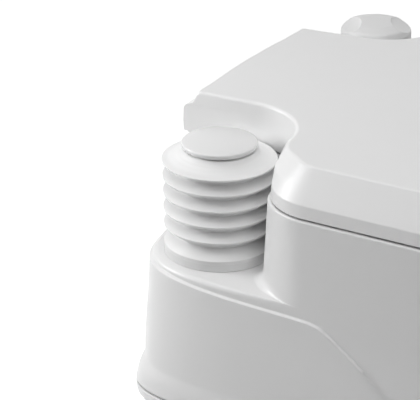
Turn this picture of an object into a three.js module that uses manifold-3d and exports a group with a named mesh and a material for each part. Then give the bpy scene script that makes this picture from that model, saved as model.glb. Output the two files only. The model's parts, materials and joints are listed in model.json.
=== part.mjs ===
// A portable toilet in two sections: a fresh-water section with bowl, flush pump, seat and lid,
// standing on a waste section with a slide valve and a pouring spout.
// Millimetres, +Z up. The front faces -Y; the origin is the centre of the base, on the floor.
import * as THREE from "three";
import { mergeVertices, toCreasedNormals } from "three/addons/utils/BufferGeometryUtils.js";
import Module from "manifold-3d";

const wasm = await Module();
wasm.setup();

// Clearances and shared thicknesses
const FIT = 0.3; // gap between pieces that touch
const OVERRUN = 4; // how far a cutter reaches past the face it cuts
const WALL = 3;
const EDGE = 1; // small broken edge
const MERGE_DISTANCE = 1e-4;

// Body outline, seen from above: a superellipse, with a scooped bay in each rear corner where one is cut
const HALF_WIDTH = 185;
const HALF_DEPTH = 207;
const CORNER_POWER = 6.3;

// Heights, stacked from the floor up
const SHOULDER_Z = 212.5; // top edge of the waste section's side
const SECTION_SEAM = 1.5; // open joint between the two sections
const FLOOR_RISE = 7; // the fresh-water section's floor above its rim
const TANK_HEIGHT = 165; // fresh-water section, rim to deck
const LEDGE_DROP = 68; // from the deck down to the ledge that carries the pump
const LID_RISE = 35; // the closed lid's top above the deck
const SKIRT_Z = SHOULDER_Z + SECTION_SEAM;
const FLOOR_Z = SKIRT_Z + FLOOR_RISE;
const WASTE_DECK_Z = FLOOR_Z - FIT;
const DECK_Z = SKIRT_Z + TANK_HEIGHT;
const LEDGE_Z = DECK_Z - LEDGE_DROP;
const LID_Z = DECK_Z + LID_RISE;

// Skirt of the fresh-water section
const SKIRT_FLARE = 6.5; // how far the rim stands out from the body
const skirt = {
  halfWidth: HALF_WIDTH + SKIRT_FLARE,
  halfDepth: HALF_DEPTH + SKIRT_FLARE,
  power: 7.4,
  rim: 2,
  height: 24,
  neckPower: 6.9,
};

// Flush pump
const PUMP_FROM_SIDE = 56.1; // axis to the body's side
const PUMP_FROM_REAR = 56;
const PUMP_X = PUMP_FROM_SIDE - HALF_WIDTH;
const PUMP_Y = HALF_DEPTH - PUMP_FROM_REAR;
const pump = {
  collarRadius: 41,
  collarHeight: 5.5,
  neckRadius: 29.7,
  neckLength: 15,
  hubRadius: 16,
  hubLength: 27,
  boreRadius: 12,
  floor: 6,
  guideRadius: 5,
  barbRadius: 4.6,
  barbWall: 1.6,
  barbReach: 38,
  barbDrop: 20.4,
  nutRadius: 37,
  nutThickness: 7,
  gasketRadius: 36,
  gasketThickness: 1.5,
  rodRadius: 3.5,
  rodTail: 6, // rod's end below the ledge, in the pump's bore
  barbStart: 14.5, // inner ends of the barb and its port, from the pump's axis
  portStart: 7.5,
};
const bellows = {
  discs: 6,
  pitch: 12.78,
  firstRim: 11, // height of the lowest rim above the ledge
  radius: 43.4,
  valleyRadius: 34,
  footRadius: 39,
  rimHalf: 0.9,
  undercut: 1.6,
  underValley: 5,
  overValley: 5.6,
  topRadius: 27,
  topRise: 8,
  wall: 1.6,
};
const button = { radius: 28.8, neckRadius: 25, rim: 3.6, neck: 1.2, dome: 1.8, socket: 4 };

// Fill opening and cap
const FILL_FROM_SIDE = 52;
const FILL_X = HALF_WIDTH - FILL_FROM_SIDE;
const FILL_Y = PUMP_Y;
const fill = {
  boreRadius: 19,
  neckRadius: 22.5,
  neckHeight: 17,
  flangeRadius: 25,
  flange: 2,
  tail: 7,
  tailRadius: 22,
};
const cap = {
  radius: 30.5,
  wall: 3,
  bottom: 3, // skirt's height above the deck
  shoulder: 28, // height of the outer shoulder above the deck
  top: 38, // height of the grip above the deck
  crown: 2.4,
  gripWall: 8, // the crown's inward run
  gripHalfWidth: 17,
  scoopRadius: 24,
  scoopDepth: 7,
  scoopTurn: THREE.MathUtils.degToRad(30),
  sealThickness: 1.7,
};

// Scooped bays: pumpBay runs through tank and lid, capBay through the lid only
const PUMP_BAY_GAP = 1.5; // bellows to the bay's inner wall
const CAP_BAY_GAP = 10.5; // cap to the bay's inner wall
const CAP_BAY_SPLAY = 5; // how much wider the cap's bay is at the rear
const SCOOP_AHEAD = 7; // the scoop's centre lies ahead of the axis in the bay
const CORNER_AHEAD = 94;
const pumpWallX = -PUMP_X - bellows.radius - PUMP_BAY_GAP; // inner wall, distance from the centre plane
const capWallX = FILL_X - cap.radius - CAP_BAY_GAP;
const pumpBay = {
  wallX: pumpWallX,
  wallRearX: pumpWallX,
  scoopRadius: 50,
  scoopY: PUMP_Y - SCOOP_AHEAD,
  cornerRadius: 34,
  cornerY: PUMP_Y - CORNER_AHEAD,
  fillet: 8,
};
const capBay = {
  wallX: capWallX,
  wallRearX: capWallX - CAP_BAY_SPLAY,
  scoopRadius: 44,
  scoopY: FILL_Y - SCOOP_AHEAD,
  cornerRadius: 34,
  cornerY: FILL_Y - CORNER_AHEAD,
};
const SCOOP_END = THREE.MathUtils.degToRad(98); // where the scoop's arc gives way to the straight run
const CORNER_END = THREE.MathUtils.degToRad(82);
const EDGE_RADIUS = 1.5; // rounding of the tank's top edge
const LEDGE_RADIUS = 3;

// Raised side panel of the fresh-water section. Its upper edge, the styling step, runs forward from the
// rear and drops to the rim; the shares give its points between the knee and the front.
const panel = {
  proud: 2,
  rearDrop: 4, // below the ledge
  middleDrop: 7.5,
  kneeDrop: 9.5,
  kneeAhead: 107, // of the pump's axis
  run: 134, // from the knee to the front
  middleShare: 0.6,
  fallShares: [[0.22, 0.18], [0.45, 0.45]],
};

// Rear hinge. The knuckles fill the space between the bays, the lid's own being the cheeks at its rear
// corners. Their ends are shares of the distance to the pump bay's wall.
const HINGE_RADIUS = 10;
const HINGE_RISE = 10.5; // axis above the deck
const hinge = {
  y: HALF_DEPTH - HINGE_RADIUS,
  z: DECK_Z + HINGE_RISE,
  radius: HINGE_RADIUS,
  seatRadius: 9,
  pinRadius: 3,
  endGap: 4, // pin end inside the lid's cheek
  recess: 4, // the deck lies lower below the hinge
  recessFront: 14, // ahead of the axis
};
const seatKnuckleShares = [0.24, 0.5];
const tankKnuckleShares = [0.525, 0.69];
const lidKnuckleShares = [0.715, 1];
const knuckleEnds = (shares) => shares.map((share) => share * pumpBay.wallRearX);

// Bowl. Each section of its outside is a share of the way from the foot to the top: width, depth, centre,
// level.
const BOWL_MARGIN_SIDE = 68; // from the bowl's outside to the body's side
const BOWL_MARGIN_FRONT = 24;
const BOWL_MARGIN_PUMP = 52; // from the bowl's rear to the pump's axis
const bowlFront = BOWL_MARGIN_FRONT - HALF_DEPTH;
const bowlRearY = PUMP_Y - BOWL_MARGIN_PUMP;
const bowl = {
  halfX: HALF_WIDTH - BOWL_MARGIN_SIDE,
  halfY: (bowlRearY - bowlFront) / 2,
  y: (bowlRearY + bowlFront) / 2,
  top: DECK_Z + FIT,
  footRadius: 52,
  foot: FLOOR_Z + FIT * 2,
  wall: 2.5,
  flangeReach: 11,
  flange: 2.5,
  steps: 24,
};
const bowlShares = [
  [1, 1, 1, 1],
  [0.94, 0.93, 0.98, 0.846],
  [0.8, 0.8, 0.86, 0.624],
  [0.55, 0.56, 0.64, 0.383],
  [0.25, 0.27, 0.33, 0.18],
  [0.05, 0.06, 0.07, 0.079],
  [0, 0, 0, 0.028],
  [0, 0, 0, 0],
];
const bowlSections = bowlShares.map(([wide, deep, along, up]) => ({
  halfX: THREE.MathUtils.lerp(bowl.footRadius, bowl.halfX, wide),
  halfY: THREE.MathUtils.lerp(bowl.footRadius, bowl.halfY, deep),
  y: bowl.y * along,
  z: THREE.MathUtils.lerp(bowl.foot, bowl.top, up),
}));
const nozzle = { drop: 17, radius: 7, bore: 4.5, mouth: 14, inside: 8, outside: 12, lip: 1.4 };
const hose = { radius: 7, bore: 4.9, steps: 14 };
const suction = {
  radius: 9,
  bore: 7,
  lift: 20,
  strainerRadius: 13,
  strainerHeight: 12,
  slot: 3,
  slotHeight: 4.5,
  slots: 4,
};
const collar = { radius: 51, bore: 44, bulge: 1 };

// Seat and lid
const SEAT_RISE = 7; // seat's underside above the deck
const SEAT_TO_HINGE = 16;
const BUFFER_FROM_FRONT = 57;
const BUFFER_FROM_SIDE = 45;
const BUFFER_BEHIND_CORNER = 3;
const seat = {
  inset: 7,
  bottom: DECK_Z + SEAT_RISE,
  thickness: 13,
  edge: 4,
  rearY: hinge.y - SEAT_TO_HINGE,
  rim: 12, // the seat reaches this far in over the bowl
  armDrop: 2, // the hinge arms lie below the seat's top
  bufferRadius: 6,
  bufferX: HALF_WIDTH - BUFFER_FROM_SIDE,
  bufferFrontY: BUFFER_FROM_FRONT - HALF_DEPTH,
  bufferRearY: pumpBay.cornerY + BUFFER_BEHIND_CORNER,
};
const LID_BUFFER_FROM_FRONT = 87;
const LID_BUFFER_FROM_SIDE = 60;
const lid = {
  seam: 1.3, // open joint between deck and lid
  band: 10.5, // height of the vertical band
  chamfer: 18.5, // inward run of the chamfer at the sides and front
  soft: 1.6, // softening at each end of the chamfer
  softRise: 3,
  crease: 1.8,
  wallEdge: 1.2, // rounding of the top edge in the bays
  softShare: 0.75,
  creaseShare: 0.88,
  insideShare: 0.85,
  rearDrop: 16, // top of the upright rear wall below the lid's top
  rearRound: 1.5,
  rearRoundDrop: 12.5,
  rearShelf: 6, // the rear chamfer starts this far in
  rearShelfDrop: 11,
  rearRun: 11.5, // and ends this far in
  rearTop: 12.7,
  troughFront: 13, // room ahead of the hinge axis
  troughRise: 11, // room above it
  troughRear: 4, // the lid's roof ends this far behind the axis
  webFront: 11, // the webs beside it start this far ahead of the axis
  bufferRadius: 6,
  bufferX: HALF_WIDTH - LID_BUFFER_FROM_SIDE,
  bufferY: LID_BUFFER_FROM_FRONT - HALF_DEPTH,
};

// Waste section, with its base drawn in and a shoulder below the fresh-water section's skirt
const waste = {
  baseInset: 9,
  baseRound: 9,
  baseCorner: 5,
  baseCornerShare: 0.7,
  sideInset: 0.5,
  draft: 1,
  shoulderOut: 4.2, // how far the shoulder stands out from the side
  tuck: 13,
  deckEdge: 1.5,
};
// Levels of the shoulder, as shares of its drop and of its reach
const shoulderShares = [[1, 0], [0.6, 0.3], [0.2, 0.85], [0, 1]];

// Slide valve
const VALVE_DROP = 15.7; // valve's underside below the deck
const valve = {
  halfWidth: 72,
  front: -92,
  rear: 72,
  floorZ: WASTE_DECK_Z - VALVE_DROP,
  height: 7.4,
  throat: 46,
  bladeHalfWidth: 55,
  bladeFront: -62,
  bladeRear: 58,
  bladeFloor: 2.8,
  blade: 2.9,
  sealRadius: 51,
  rodHalfWidth: 12,
  gripHalfWidth: 45,
  gripProud: 4.5,
  gripDepth: 13.5,
  gripDrop: 7,
  gripRise: 4,
  pocketSide: 9,
  pocketDepth: 19,
  pocketDrop: 15,
  screwInset: 8,
  screwHead: 4.5,
  screwHeadHeight: 2.2,
  screwShank: 2.5,
  screwLength: 15,
  boss: 6,
};

// Pouring spout in a notch of the rear right corner
const SPOUT_FROM_SIDE = 65;
const SPOUT_FROM_REAR = 50;
const SPOUT_DROP = 35.5; // axis below the shoulder
const spout = {
  x: HALF_WIDTH - SPOUT_FROM_SIDE,
  y: HALF_DEPTH - SPOUT_FROM_REAR,
  z: SHOULDER_Z - SPOUT_DROP,
  shelfDrop: 37, // shelf below the axis
  notchAhead: 31, // the notch's front wall ahead of the axis
  notchEnd: 66.7, // room beyond the cap
  riserRadius: 22,
  riserTail: 8,
  flangeRadius: 28,
  flange: 3,
  tubeRadius: 20,
  bore: 16.5,
  length: 136,
  capRadius: 26.5,
  capLength: 22,
  capWall: 2.5,
  sealThickness: 1.7,
};
const spoutMouth = spout.x - spout.length;
const spoutShelfZ = spout.z - spout.shelfDrop;
const spoutNotchY = spout.y - spout.notchAhead;
const spoutCapRoof = spoutMouth - FIT * 2 - spout.sealThickness;

// Vent button in the waste section's deck, ahead of the spout's notch
const vent = {
  fromSide: 73,
  aheadOfNotch: 30,
  recessRadius: 15,
  recessDepth: 12.7,
  buttonRadius: 8,
  buttonDrop: 1.2,
  cap: 3.2,
  stemRadius: 2.6,
  stemTail: 7,
  sealRadius: 8,
  sealThickness: 2,
  springRadius: 5,
  springWire: 0.7,
  springTurns: 3,
};
const ventX = vent.fromSide - HALF_WIDTH;
const ventY = spoutNotchY - vent.aheadOfNotch;
const ventFloorZ = WASTE_DECK_Z - vent.recessDepth;
const ventTopZ = WASTE_DECK_Z - vent.buttonDrop;

// Side latches
const LATCH_INSET = 1; // pivot inside the body's side
const LATCH_DROP = 20.5; // pivot below the shoulder
const latch = {
  y: -30,
  halfWidth: 15,
  pivotX: HALF_WIDTH - LATCH_INSET,
  pivotZ: SHOULDER_Z - LATCH_DROP,
  offset: 5,
  thickness: 2.8,
  length: 40,
  pinRadius: 2,
  eyeRadius: 4.5,
  pocketDepth: 10, // behind the pivot
  pocketDrop: 46, // below the pivot
  pocketSide: 2,
  pinHold: 4,
  windowHalf: 7,
  windowNear: 32,
  windowFar: 37.5,
  lugHalf: 5.5,
  lugNear: 33.4,
  lugFar: 36.2,
  lugProud: 2.6,
  notchStart: 3.2, // beyond the pivot
  notchSide: 1.5,
  notchTop: 22, // above the skirt's rim
};

// Grip in the front of the waste section
const grip = {
  halfWidth: 62,
  topDrop: 44.5, // below the shoulder
  height: 56,
  depth: 48,
  barInset: 8,
  barDrop: 14,
  barRadius: 8,
  stubRadius: 4,
  stub: 4,
};
const gripTop = SHOULDER_Z - grip.topDrop;
const gripBarY = grip.barInset - HALF_DEPTH;
const gripBarZ = gripTop - grip.barDrop;

// Level windows, in the front
const WINDOW_FROM_SIDE = 67;
const WINDOW_X = HALF_WIDTH - WINDOW_FROM_SIDE;
const WINDOW_RISE = 31; // window's lower edge above the floor
const WINDOW_DROP = 37; // its upper edge below the deck
const windowHole = WALL * 3; // depth of the windows' holes
const freshWindow = {
  halfWidth: 6,
  bottom: FLOOR_Z + WINDOW_RISE,
  top: DECK_Z - WINDOW_DROP,
  thickness: 2.4,
};
const wasteWindow = { drop: 36.5, radius: 9, thickness: 2.4 };

const white = { color: 0xe9e9ea, roughness: 0.38, metalness: 0 };
const finishes = {
  shell: new THREE.MeshStandardMaterial(white),
  soft: new THREE.MeshStandardMaterial({ ...white, color: 0xeeeeef, roughness: 0.5 }),
  glossy: new THREE.MeshStandardMaterial({ ...white, color: 0xf0f0f1, roughness: 0.22 }),
  grey: new THREE.MeshStandardMaterial({ color: 0x8d9094, roughness: 0.45, metalness: 0 }),
  rubber: new THREE.MeshStandardMaterial({ color: 0x2b2c2e, roughness: 0.75, metalness: 0 }),
  steel: new THREE.MeshStandardMaterial({ color: 0xb9bcc0, roughness: 0.3, metalness: 1 }),
  clear: new THREE.MeshStandardMaterial({ color: 0xdfe7ea, roughness: 0.12, metalness: 0 }),
};

// Solids

// A closed surface with merged vertices, its faces turned outwards.
function toSolid(geometry) {
  const bare = geometry.index ? geometry.toNonIndexed() : geometry.clone();
  for (const name of Object.keys(bare.attributes)) {
    if (name !== "position") bare.deleteAttribute(name);
  }
  const merged = mergeVertices(bare, MERGE_DISTANCE);
  const corners = merged.index.array;
  const place = merged.attributes.position;
  const faces = [];
  const [a, b, c] = [new THREE.Vector3(), new THREE.Vector3(), new THREE.Vector3()];
  let sixVolumes = 0;
  for (let i = 0; i < corners.length; i += 3) {
    const [i0, i1, i2] = [corners[i], corners[i + 1], corners[i + 2]];
    if (i0 === i1 || i1 === i2 || i2 === i0) continue;
    faces.push([i0, i1, i2]);
    a.fromBufferAttribute(place, i0);
    b.fromBufferAttribute(place, i1);
    c.fromBufferAttribute(place, i2);
    sixVolumes += a.dot(b.cross(c));
  }
  const outward = sixVolumes > 0 ? faces : faces.map(([i0, i1, i2]) => [i0, i2, i1]);
  return new wasm.Manifold(
    new wasm.Mesh({ numProp: 3, vertProperties: place.array, triVerts: new Uint32Array(outward.flat()) }),
  );
}

function fromSolid(solid) {
  const found = solid.getMesh();
  const places = new Float32Array(found.numVert * 3);
  for (let i = 0; i < found.numVert; i++) {
    places.set(found.vertProperties.subarray(i * found.numProp, i * found.numProp + 3), i * 3);
  }
  const geometry = new THREE.BufferGeometry();
  geometry.setAttribute("position", new THREE.BufferAttribute(places, 3));
  geometry.setIndex(new THREE.BufferAttribute(found.triVerts, 1));
  return toCreasedNormals(geometry, Math.PI / 6);
}

const join = (first, ...others) => others.reduce((sum, other) => sum.add(other), first);
const cut = (first, ...others) => others.reduce((rest, other) => rest.subtract(other), first);

// A box between two corners.
function block(x0, x1, y0, y1, z0, z1) {
  const box = new THREE.BoxGeometry(x1 - x0, y1 - y0, z1 - z0);
  return toSolid(box.translate((x0 + x1) / 2, (y0 + y1) / 2, (z0 + z1) / 2));
}

// A turned piece about the Z axis at x, y, from a profile of [radius, z].
function turned(profile, { x = 0, y = 0, sides = 20 } = {}) {
  const points = profile.map(([radius, z]) => new THREE.Vector2(radius, z));
  return toSolid(new THREE.LatheGeometry(points, sides).rotateX(Math.PI / 2).translate(x, y, 0));
}

// A turned ring of rectangular section.
function tube(inner, outer, z0, z1, options) {
  return turned([[inner, z0], [outer, z0], [outer, z1], [inner, z1], [inner, z0]], options);
}

// A round bar from z0 to z1.
function bar(radius, z0, z1, { x = 0, y = 0, sides = 20 } = {}) {
  const geometry = new THREE.CylinderGeometry(radius, radius, z1 - z0, sides).rotateX(Math.PI / 2);
  return toSolid(geometry.translate(x, y, (z0 + z1) / 2));
}

// A round bar along X, from x0 to x1.
function barX(radius, x0, x1, y, z, sides = 20) {
  const geometry = new THREE.CylinderGeometry(radius, radius, x1 - x0, sides).rotateZ(Math.PI / 2);
  return toSolid(geometry.translate((x0 + x1) / 2, y, z));
}

// A round bar along Y, from y0 to y1.
function barY(radius, y0, y1, x, z, sides = 20) {
  const geometry = new THREE.CylinderGeometry(radius, radius, y1 - y0, sides);
  return toSolid(geometry.translate(x, (y0 + y1) / 2, z));
}

// A plate of the shape given by its outline, from z0 to z1.
function plate(shape, z0, z1) {
  const options = { depth: z1 - z0, bevelEnabled: false, curveSegments: 4 };
  return toSolid(new THREE.ExtrudeGeometry(shape, options).translate(0, 0, z0));
}

function roundedRectangle(x0, x1, y0, y1, radius) {
  const shape = new THREE.Shape();
  shape.absarc(x1 - radius, y1 - radius, radius, 0, Math.PI / 2);
  shape.absarc(x0 + radius, y1 - radius, radius, Math.PI / 2, Math.PI);
  shape.absarc(x0 + radius, y0 + radius, radius, Math.PI, Math.PI * 1.5);
  shape.absarc(x1 - radius, y0 + radius, radius, Math.PI * 1.5, Math.PI * 2);
  shape.closePath();
  return shape;
}

// A solid through rings of equally many points, from the lowest ring to the highest.
function loft(rings) {
  const count = rings[0].length;
  const places = [];
  const add = (...points) => points.forEach((point) => places.push(point.x, point.y, point.z));
  for (let level = 0; level + 1 < rings.length; level++) {
    for (let i = 0; i < count; i++) {
      const next = (i + 1) % count;
      const [a, b] = [rings[level][i], rings[level][next]];
      const [c, d] = [rings[level + 1][next], rings[level + 1][i]];
      add(a, b, c);
      add(a, c, d);
    }
  }
  for (const [ring, up] of [[rings[0], false], [rings.at(-1), true]]) {
    const contour = ring.map((point) => new THREE.Vector2(point.x, point.y));
    for (const corners of THREE.ShapeUtils.triangulateShape(contour, [])) {
      const facesUp = THREE.ShapeUtils.area(corners.map((i) => contour[i])) > 0;
      const order = facesUp === up ? corners : [...corners].reverse();
      add(...order.map((i) => ring[i]));
    }
  }
  const geometry = new THREE.BufferGeometry();
  geometry.setAttribute("position", new THREE.Float32BufferAttribute(places, 3));
  return toSolid(geometry);
}

// Body outline

const PLAIN_STEPS = 6; // segments of a plain quarter
const CORNER_STEPS = 5;
const STRAIGHT_STEPS = 3;
const SCOOP_STEPS = 7;
const BAY_POINTS = CORNER_STEPS + STRAIGHT_STEPS + SCOOP_STEPS + 2;
const straightBow = 0.3; // the straight run bows out a little
const ledgeFadeShare = 1 / 8; // of a bay's run, over which the ledge's rounding grows
const insetFadeShare = 0.6; // of the convex corner, where the side's inset starts to fade

const superX = (halfX, halfY, power, y) => halfX * (1 - (y / halfY) ** power) ** (1 / power);
const onCorner = (halfX, halfY, power, turn) => [
  halfX * Math.cos(turn) ** (2 / power),
  halfY * Math.sin(turn) ** (2 / power),
];

// The rear right quarter of a body without a bay, from the side to the rear. Where the quarter joins one
// with a bay, it has the bay's number of points between the bay's two ends.
function plainQuarter({ halfX, halfY, power }, bay, rearX = 0, cornerInset = 0) {
  const points = [];
  if (!bay) {
    for (let i = 0; i < PLAIN_STEPS; i++) {
      points.push(onCorner(halfX, halfY, power, (i / PLAIN_STEPS) * (Math.PI / 2)));
    }
    return points;
  }
  const start = Math.asin((bay.cornerY / halfY) ** (power / 2));
  const end = Math.acos((rearX / halfX) ** (power / 2));
  points.push([halfX, 0]);
  for (let i = 0; i < BAY_POINTS; i++) {
    const share = i / (BAY_POINTS - 1);
    const drawn = cornerInset * Math.min(1, share / ledgeFadeShare, (1 - share) / ledgeFadeShare);
    points.push(onCorner(halfX - drawn, halfY - drawn, power, start + (end - start) * share));
  }
  return points;
}

// The rear right quarter with a bay cut into it: a convex corner, a straight run and the scoop. The bay's
// wall stands wallInset back from its place, and spread forward of it where the fillet on the ledge starts.
// From the corner to the scoop, the side's inset fades into the wall's.
function bayQuarter({ halfX, halfY, power }, bay, rearX, sideInset, wallInset, spread) {
  const centreX = superX(halfX, halfY, power, bay.cornerY) - bay.cornerRadius + sideInset;
  const scoopX = bay.wallX + bay.scoopRadius;
  const onCornerArc = (turn, radius) =>
    new THREE.Vector2(centreX + radius * Math.cos(turn), bay.cornerY + radius * Math.sin(turn));
  const onScoopArc = (turn, radius) =>
    new THREE.Vector2(scoopX + radius * Math.cos(turn), bay.scoopY + radius * Math.sin(turn));
  const start = onCornerArc(CORNER_END, bay.cornerRadius);
  const end = onScoopArc(-SCOOP_END, bay.scoopRadius);
  const outward = new THREE.Vector2(Math.cos(CORNER_END), Math.sin(CORNER_END));
  const cornerRun = CORNER_END * bay.cornerRadius;
  const wholeRun = cornerRun + start.distanceTo(end);
  const insetAt = (along) =>
    THREE.MathUtils.lerp(
      sideInset,
      wallInset,
      THREE.MathUtils.smoothstep(along, cornerRun * insetFadeShare, wholeRun),
    );
  const points = [new THREE.Vector2(halfX, 0)];
  for (let i = 0; i <= CORNER_STEPS; i++) {
    const share = i / CORNER_STEPS;
    const radius = bay.cornerRadius - insetAt(cornerRun * share) + spread * share;
    points.push(onCornerArc(CORNER_END * share, radius));
  }
  for (let i = 1; i < STRAIGHT_STEPS; i++) {
    const share = i / STRAIGHT_STEPS;
    const inset = insetAt(THREE.MathUtils.lerp(cornerRun, wholeRun, share));
    const out = spread - inset + straightBow * Math.sin(Math.PI * share);
    points.push(start.clone().lerp(end, share).addScaledVector(outward, out));
  }
  for (let i = 0; i <= SCOOP_STEPS; i++) {
    const turn = -SCOOP_END - (i / SCOOP_STEPS) * (Math.PI - SCOOP_END);
    points.push(onScoopArc(turn, bay.scoopRadius + wallInset - spread));
  }
  points.push(new THREE.Vector2(rearX, superX(halfY, halfX, power, rearX)));
  return points.map((point) => point.toArray());
}

// One level of the body. left and right name the bay in each rear corner, and open says whether the bay is
// cut at this level or only keeps its number of points.
function bodyRing({
  z,
  halfX = HALF_WIDTH,
  halfY = HALF_DEPTH,
  power = CORNER_POWER,
  inset = 0,
  rearInset = inset,
  left = null,
  right = null,
  open = true,
  wallInset = inset,
  spread = 0,
  cornerInset = 0,
}) {
  const front = { halfX: halfX - inset, halfY: halfY - inset, power };
  const rear = { halfX: halfX - inset, halfY: halfY - rearInset, power };
  const rearQuarter = (bay) => {
    if (!bay) return plainQuarter(rear, null);
    const rearX = bay.wallRearX - wallInset + spread;
    if (open) return bayQuarter(rear, bay, rearX, inset, wallInset, spread);
    return plainQuarter(rear, bay, rearX, cornerInset);
  };
  const rearRight = rearQuarter(right);
  const rearLeft = rearQuarter(left).map(([x, y]) => [-x, y]);
  const frontPoints = plainQuarter(front, null);
  const points = [
    ...rearRight,
    [0, rear.halfY],
    ...rearLeft.slice(1).reverse(),
    ...frontPoints.map(([x, y]) => [-x, -y]),
    [0, -front.halfY],
    ...frontPoints.slice(1).reverse().map(([x, y]) => [x, -y]),
  ];
  return points.map(([x, y]) => new THREE.Vector3(x, y, z));
}

function ovalRing({ halfX, halfY, y, z }, steps, inset = 0) {
  const points = [];
  for (let i = 0; i < steps; i++) {
    const turn = (i / steps) * Math.PI * 2;
    const [across, along] = [(halfX - inset) * Math.cos(turn), (halfY - inset) * Math.sin(turn)];
    points.push(new THREE.Vector3(across, y + along, z));
  }
  return points;
}

// Fresh-water section

// Levels of the skirt from its rim up, each as a share of the flare's height and of its reach.
const flareShares = [[0, 1], [0.12, 1], [0.38, 0.83], [0.62, 0.58], [0.8, 0.25], [1, 0]];

function skirtRings(sideX, sideY, bay) {
  return flareShares.map(([up, out]) =>
    bodyRing({
      z: SKIRT_Z + up * skirt.height,
      halfX: THREE.MathUtils.lerp(sideX, skirt.halfWidth, out),
      halfY: THREE.MathUtils.lerp(sideY, skirt.halfDepth, out),
      power: THREE.MathUtils.lerp(skirt.neckPower, skirt.power, out),
      left: bay,
      open: false,
      spread: pumpBay.fillet,
    }),
  );
}

function tankOutside() {
  const filletRings = [0, 1, 2, 3].map((step) => {
    const turn = (step / 3) * (Math.PI / 2);
    return bodyRing({
      z: LEDGE_Z + pumpBay.fillet * (1 - Math.cos(turn)),
      left: pumpBay,
      spread: pumpBay.fillet * (1 - Math.sin(turn)),
    });
  });
  const ledgeRings = [0, 1, 2].map((step) => {
    const turn = (step / 2) * (Math.PI / 2);
    return bodyRing({
      z: LEDGE_Z - LEDGE_RADIUS * (1 - Math.sin(turn)),
      left: pumpBay,
      open: false,
      spread: pumpBay.fillet,
      cornerInset: LEDGE_RADIUS * (1 - Math.cos(turn)),
    });
  });
  const topRings = [0, 1, 2].map((step) => {
    const turn = (step / 2) * (Math.PI / 2);
    return bodyRing({
      z: DECK_Z - EDGE_RADIUS * (1 - Math.sin(turn)),
      left: pumpBay,
      inset: EDGE_RADIUS * (1 - Math.cos(turn)),
    });
  });
  return loft([...skirtRings(HALF_WIDTH, HALF_DEPTH, pumpBay), ...ledgeRings, ...filletRings, ...topRings]);
}

// The side panel: a slightly larger body, kept only below the styling step.
function sidePanel() {
  const [outX, outY] = [HALF_WIDTH + panel.proud, HALF_DEPTH + panel.proud];
  const body = loft([
    ...skirtRings(outX, outY, null),
    bodyRing({ z: LEDGE_Z - LEDGE_RADIUS, halfX: outX, halfY: outY }),
  ]);
  const rearY = skirt.halfDepth + OVERRUN;
  const [kneeY, kneeZ] = [PUMP_Y - panel.kneeAhead, LEDGE_Z - panel.kneeDrop];
  const [frontY, rimZ] = [kneeY - panel.run, SKIRT_Z + skirt.rim];
  const lerp = THREE.MathUtils.lerp;
  const step = new THREE.SplineCurve(
    [
      [rearY, LEDGE_Z - panel.rearDrop],
      [lerp(rearY, kneeY, panel.middleShare), LEDGE_Z - panel.middleDrop],
      [kneeY, kneeZ],
      ...panel.fallShares.map(([along, down]) => [lerp(kneeY, frontY, along), lerp(kneeZ, rimZ, down)]),
      [frontY, rimZ],
    ].map(([y, z]) => new THREE.Vector2(y, z)),
  );
  const outline = [...step.getPoints(16), new THREE.Vector2(rearY, rimZ)];
  // The outline lies in Y and Z and is pushed through along X.
  const across = new THREE.ExtrudeGeometry(new THREE.Shape(outline), {
    depth: 2 * (skirt.halfWidth + OVERRUN),
    bevelEnabled: false,
  });
  across.rotateY(Math.PI / 2).rotateX(Math.PI / 2);
  return body.intersect(toSolid(across.translate(-skirt.halfWidth - OVERRUN, 0, 0)));
}

// Room in the deck for the lid's cheeks as they turn. As a solid with a wall, it is what the water space
// leaves round that room.
function hingeRecess(wall = 0) {
  return block(
    -pumpBay.wallRearX - OVERRUN,
    capBay.wallRearX + WALL + wall,
    hinge.y - hinge.recessFront - wall,
    HALF_DEPTH + OVERRUN,
    DECK_Z - hinge.recess - wall,
    DECK_Z + OVERRUN,
  );
}

// The water space: under the ledge it fills the corner, above it follows the bay.
function tankCavity() {
  const floor = FLOOR_Z + WALL;
  const closed = { inset: WALL, left: pumpBay, open: false };
  const space = loft([
    bodyRing({ z: floor, ...closed }),
    bodyRing({ z: LEDGE_Z - WALL, ...closed }),
    bodyRing({ z: LEDGE_Z - WALL, inset: WALL, left: pumpBay }),
    bodyRing({ z: DECK_Z - WALL, inset: WALL, left: pumpBay }),
  ]);
  return cut(space, hingeRecess(WALL));
}

// The space under the floor, inside the skirt.
function skirtHollow() {
  const floor = (FLOOR_Z - SKIRT_Z) / skirt.height;
  return loft(
    [-OVERRUN, floor * skirt.height].map((up) =>
      bodyRing({
        z: SKIRT_Z + up,
        halfX: skirt.halfWidth - WALL,
        halfY: skirt.halfDepth - WALL,
        power: skirt.power,
      }),
    ),
  );
}

const seatKnuckle = knuckleEnds(seatKnuckleShares);
const tankKnuckle = knuckleEnds(tankKnuckleShares);
const lidKnuckle = knuckleEnds(lidKnuckleShares);

function tankLug(side) {
  const [near, far] = tankKnuckle.map((x) => side * x).sort((a, b) => a - b);
  const [front, rear] = [hinge.y - hinge.radius, hinge.y + hinge.radius / 2];
  const foot = block(near, far, front, rear, DECK_Z - hinge.recess - EDGE, hinge.z);
  return join(foot, barX(hinge.radius, near, far, hinge.y, hinge.z));
}

const pinEnd = lidKnuckle[1] - hinge.endGap;

const pinHole = () => barX(hinge.pinRadius + FIT, -pinEnd - FIT, pinEnd + FIT, hinge.y, hinge.z, 16);

function latchLug(side) {
  const x = [side * (latch.pivotX - OVERRUN), side * (HALF_WIDTH + panel.proud + latch.lugProud)];
  return block(
    Math.min(...x),
    Math.max(...x),
    latch.y - latch.lugHalf,
    latch.y + latch.lugHalf,
    latch.pivotZ + latch.lugNear,
    latch.pivotZ + latch.lugFar,
  );
}

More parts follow.
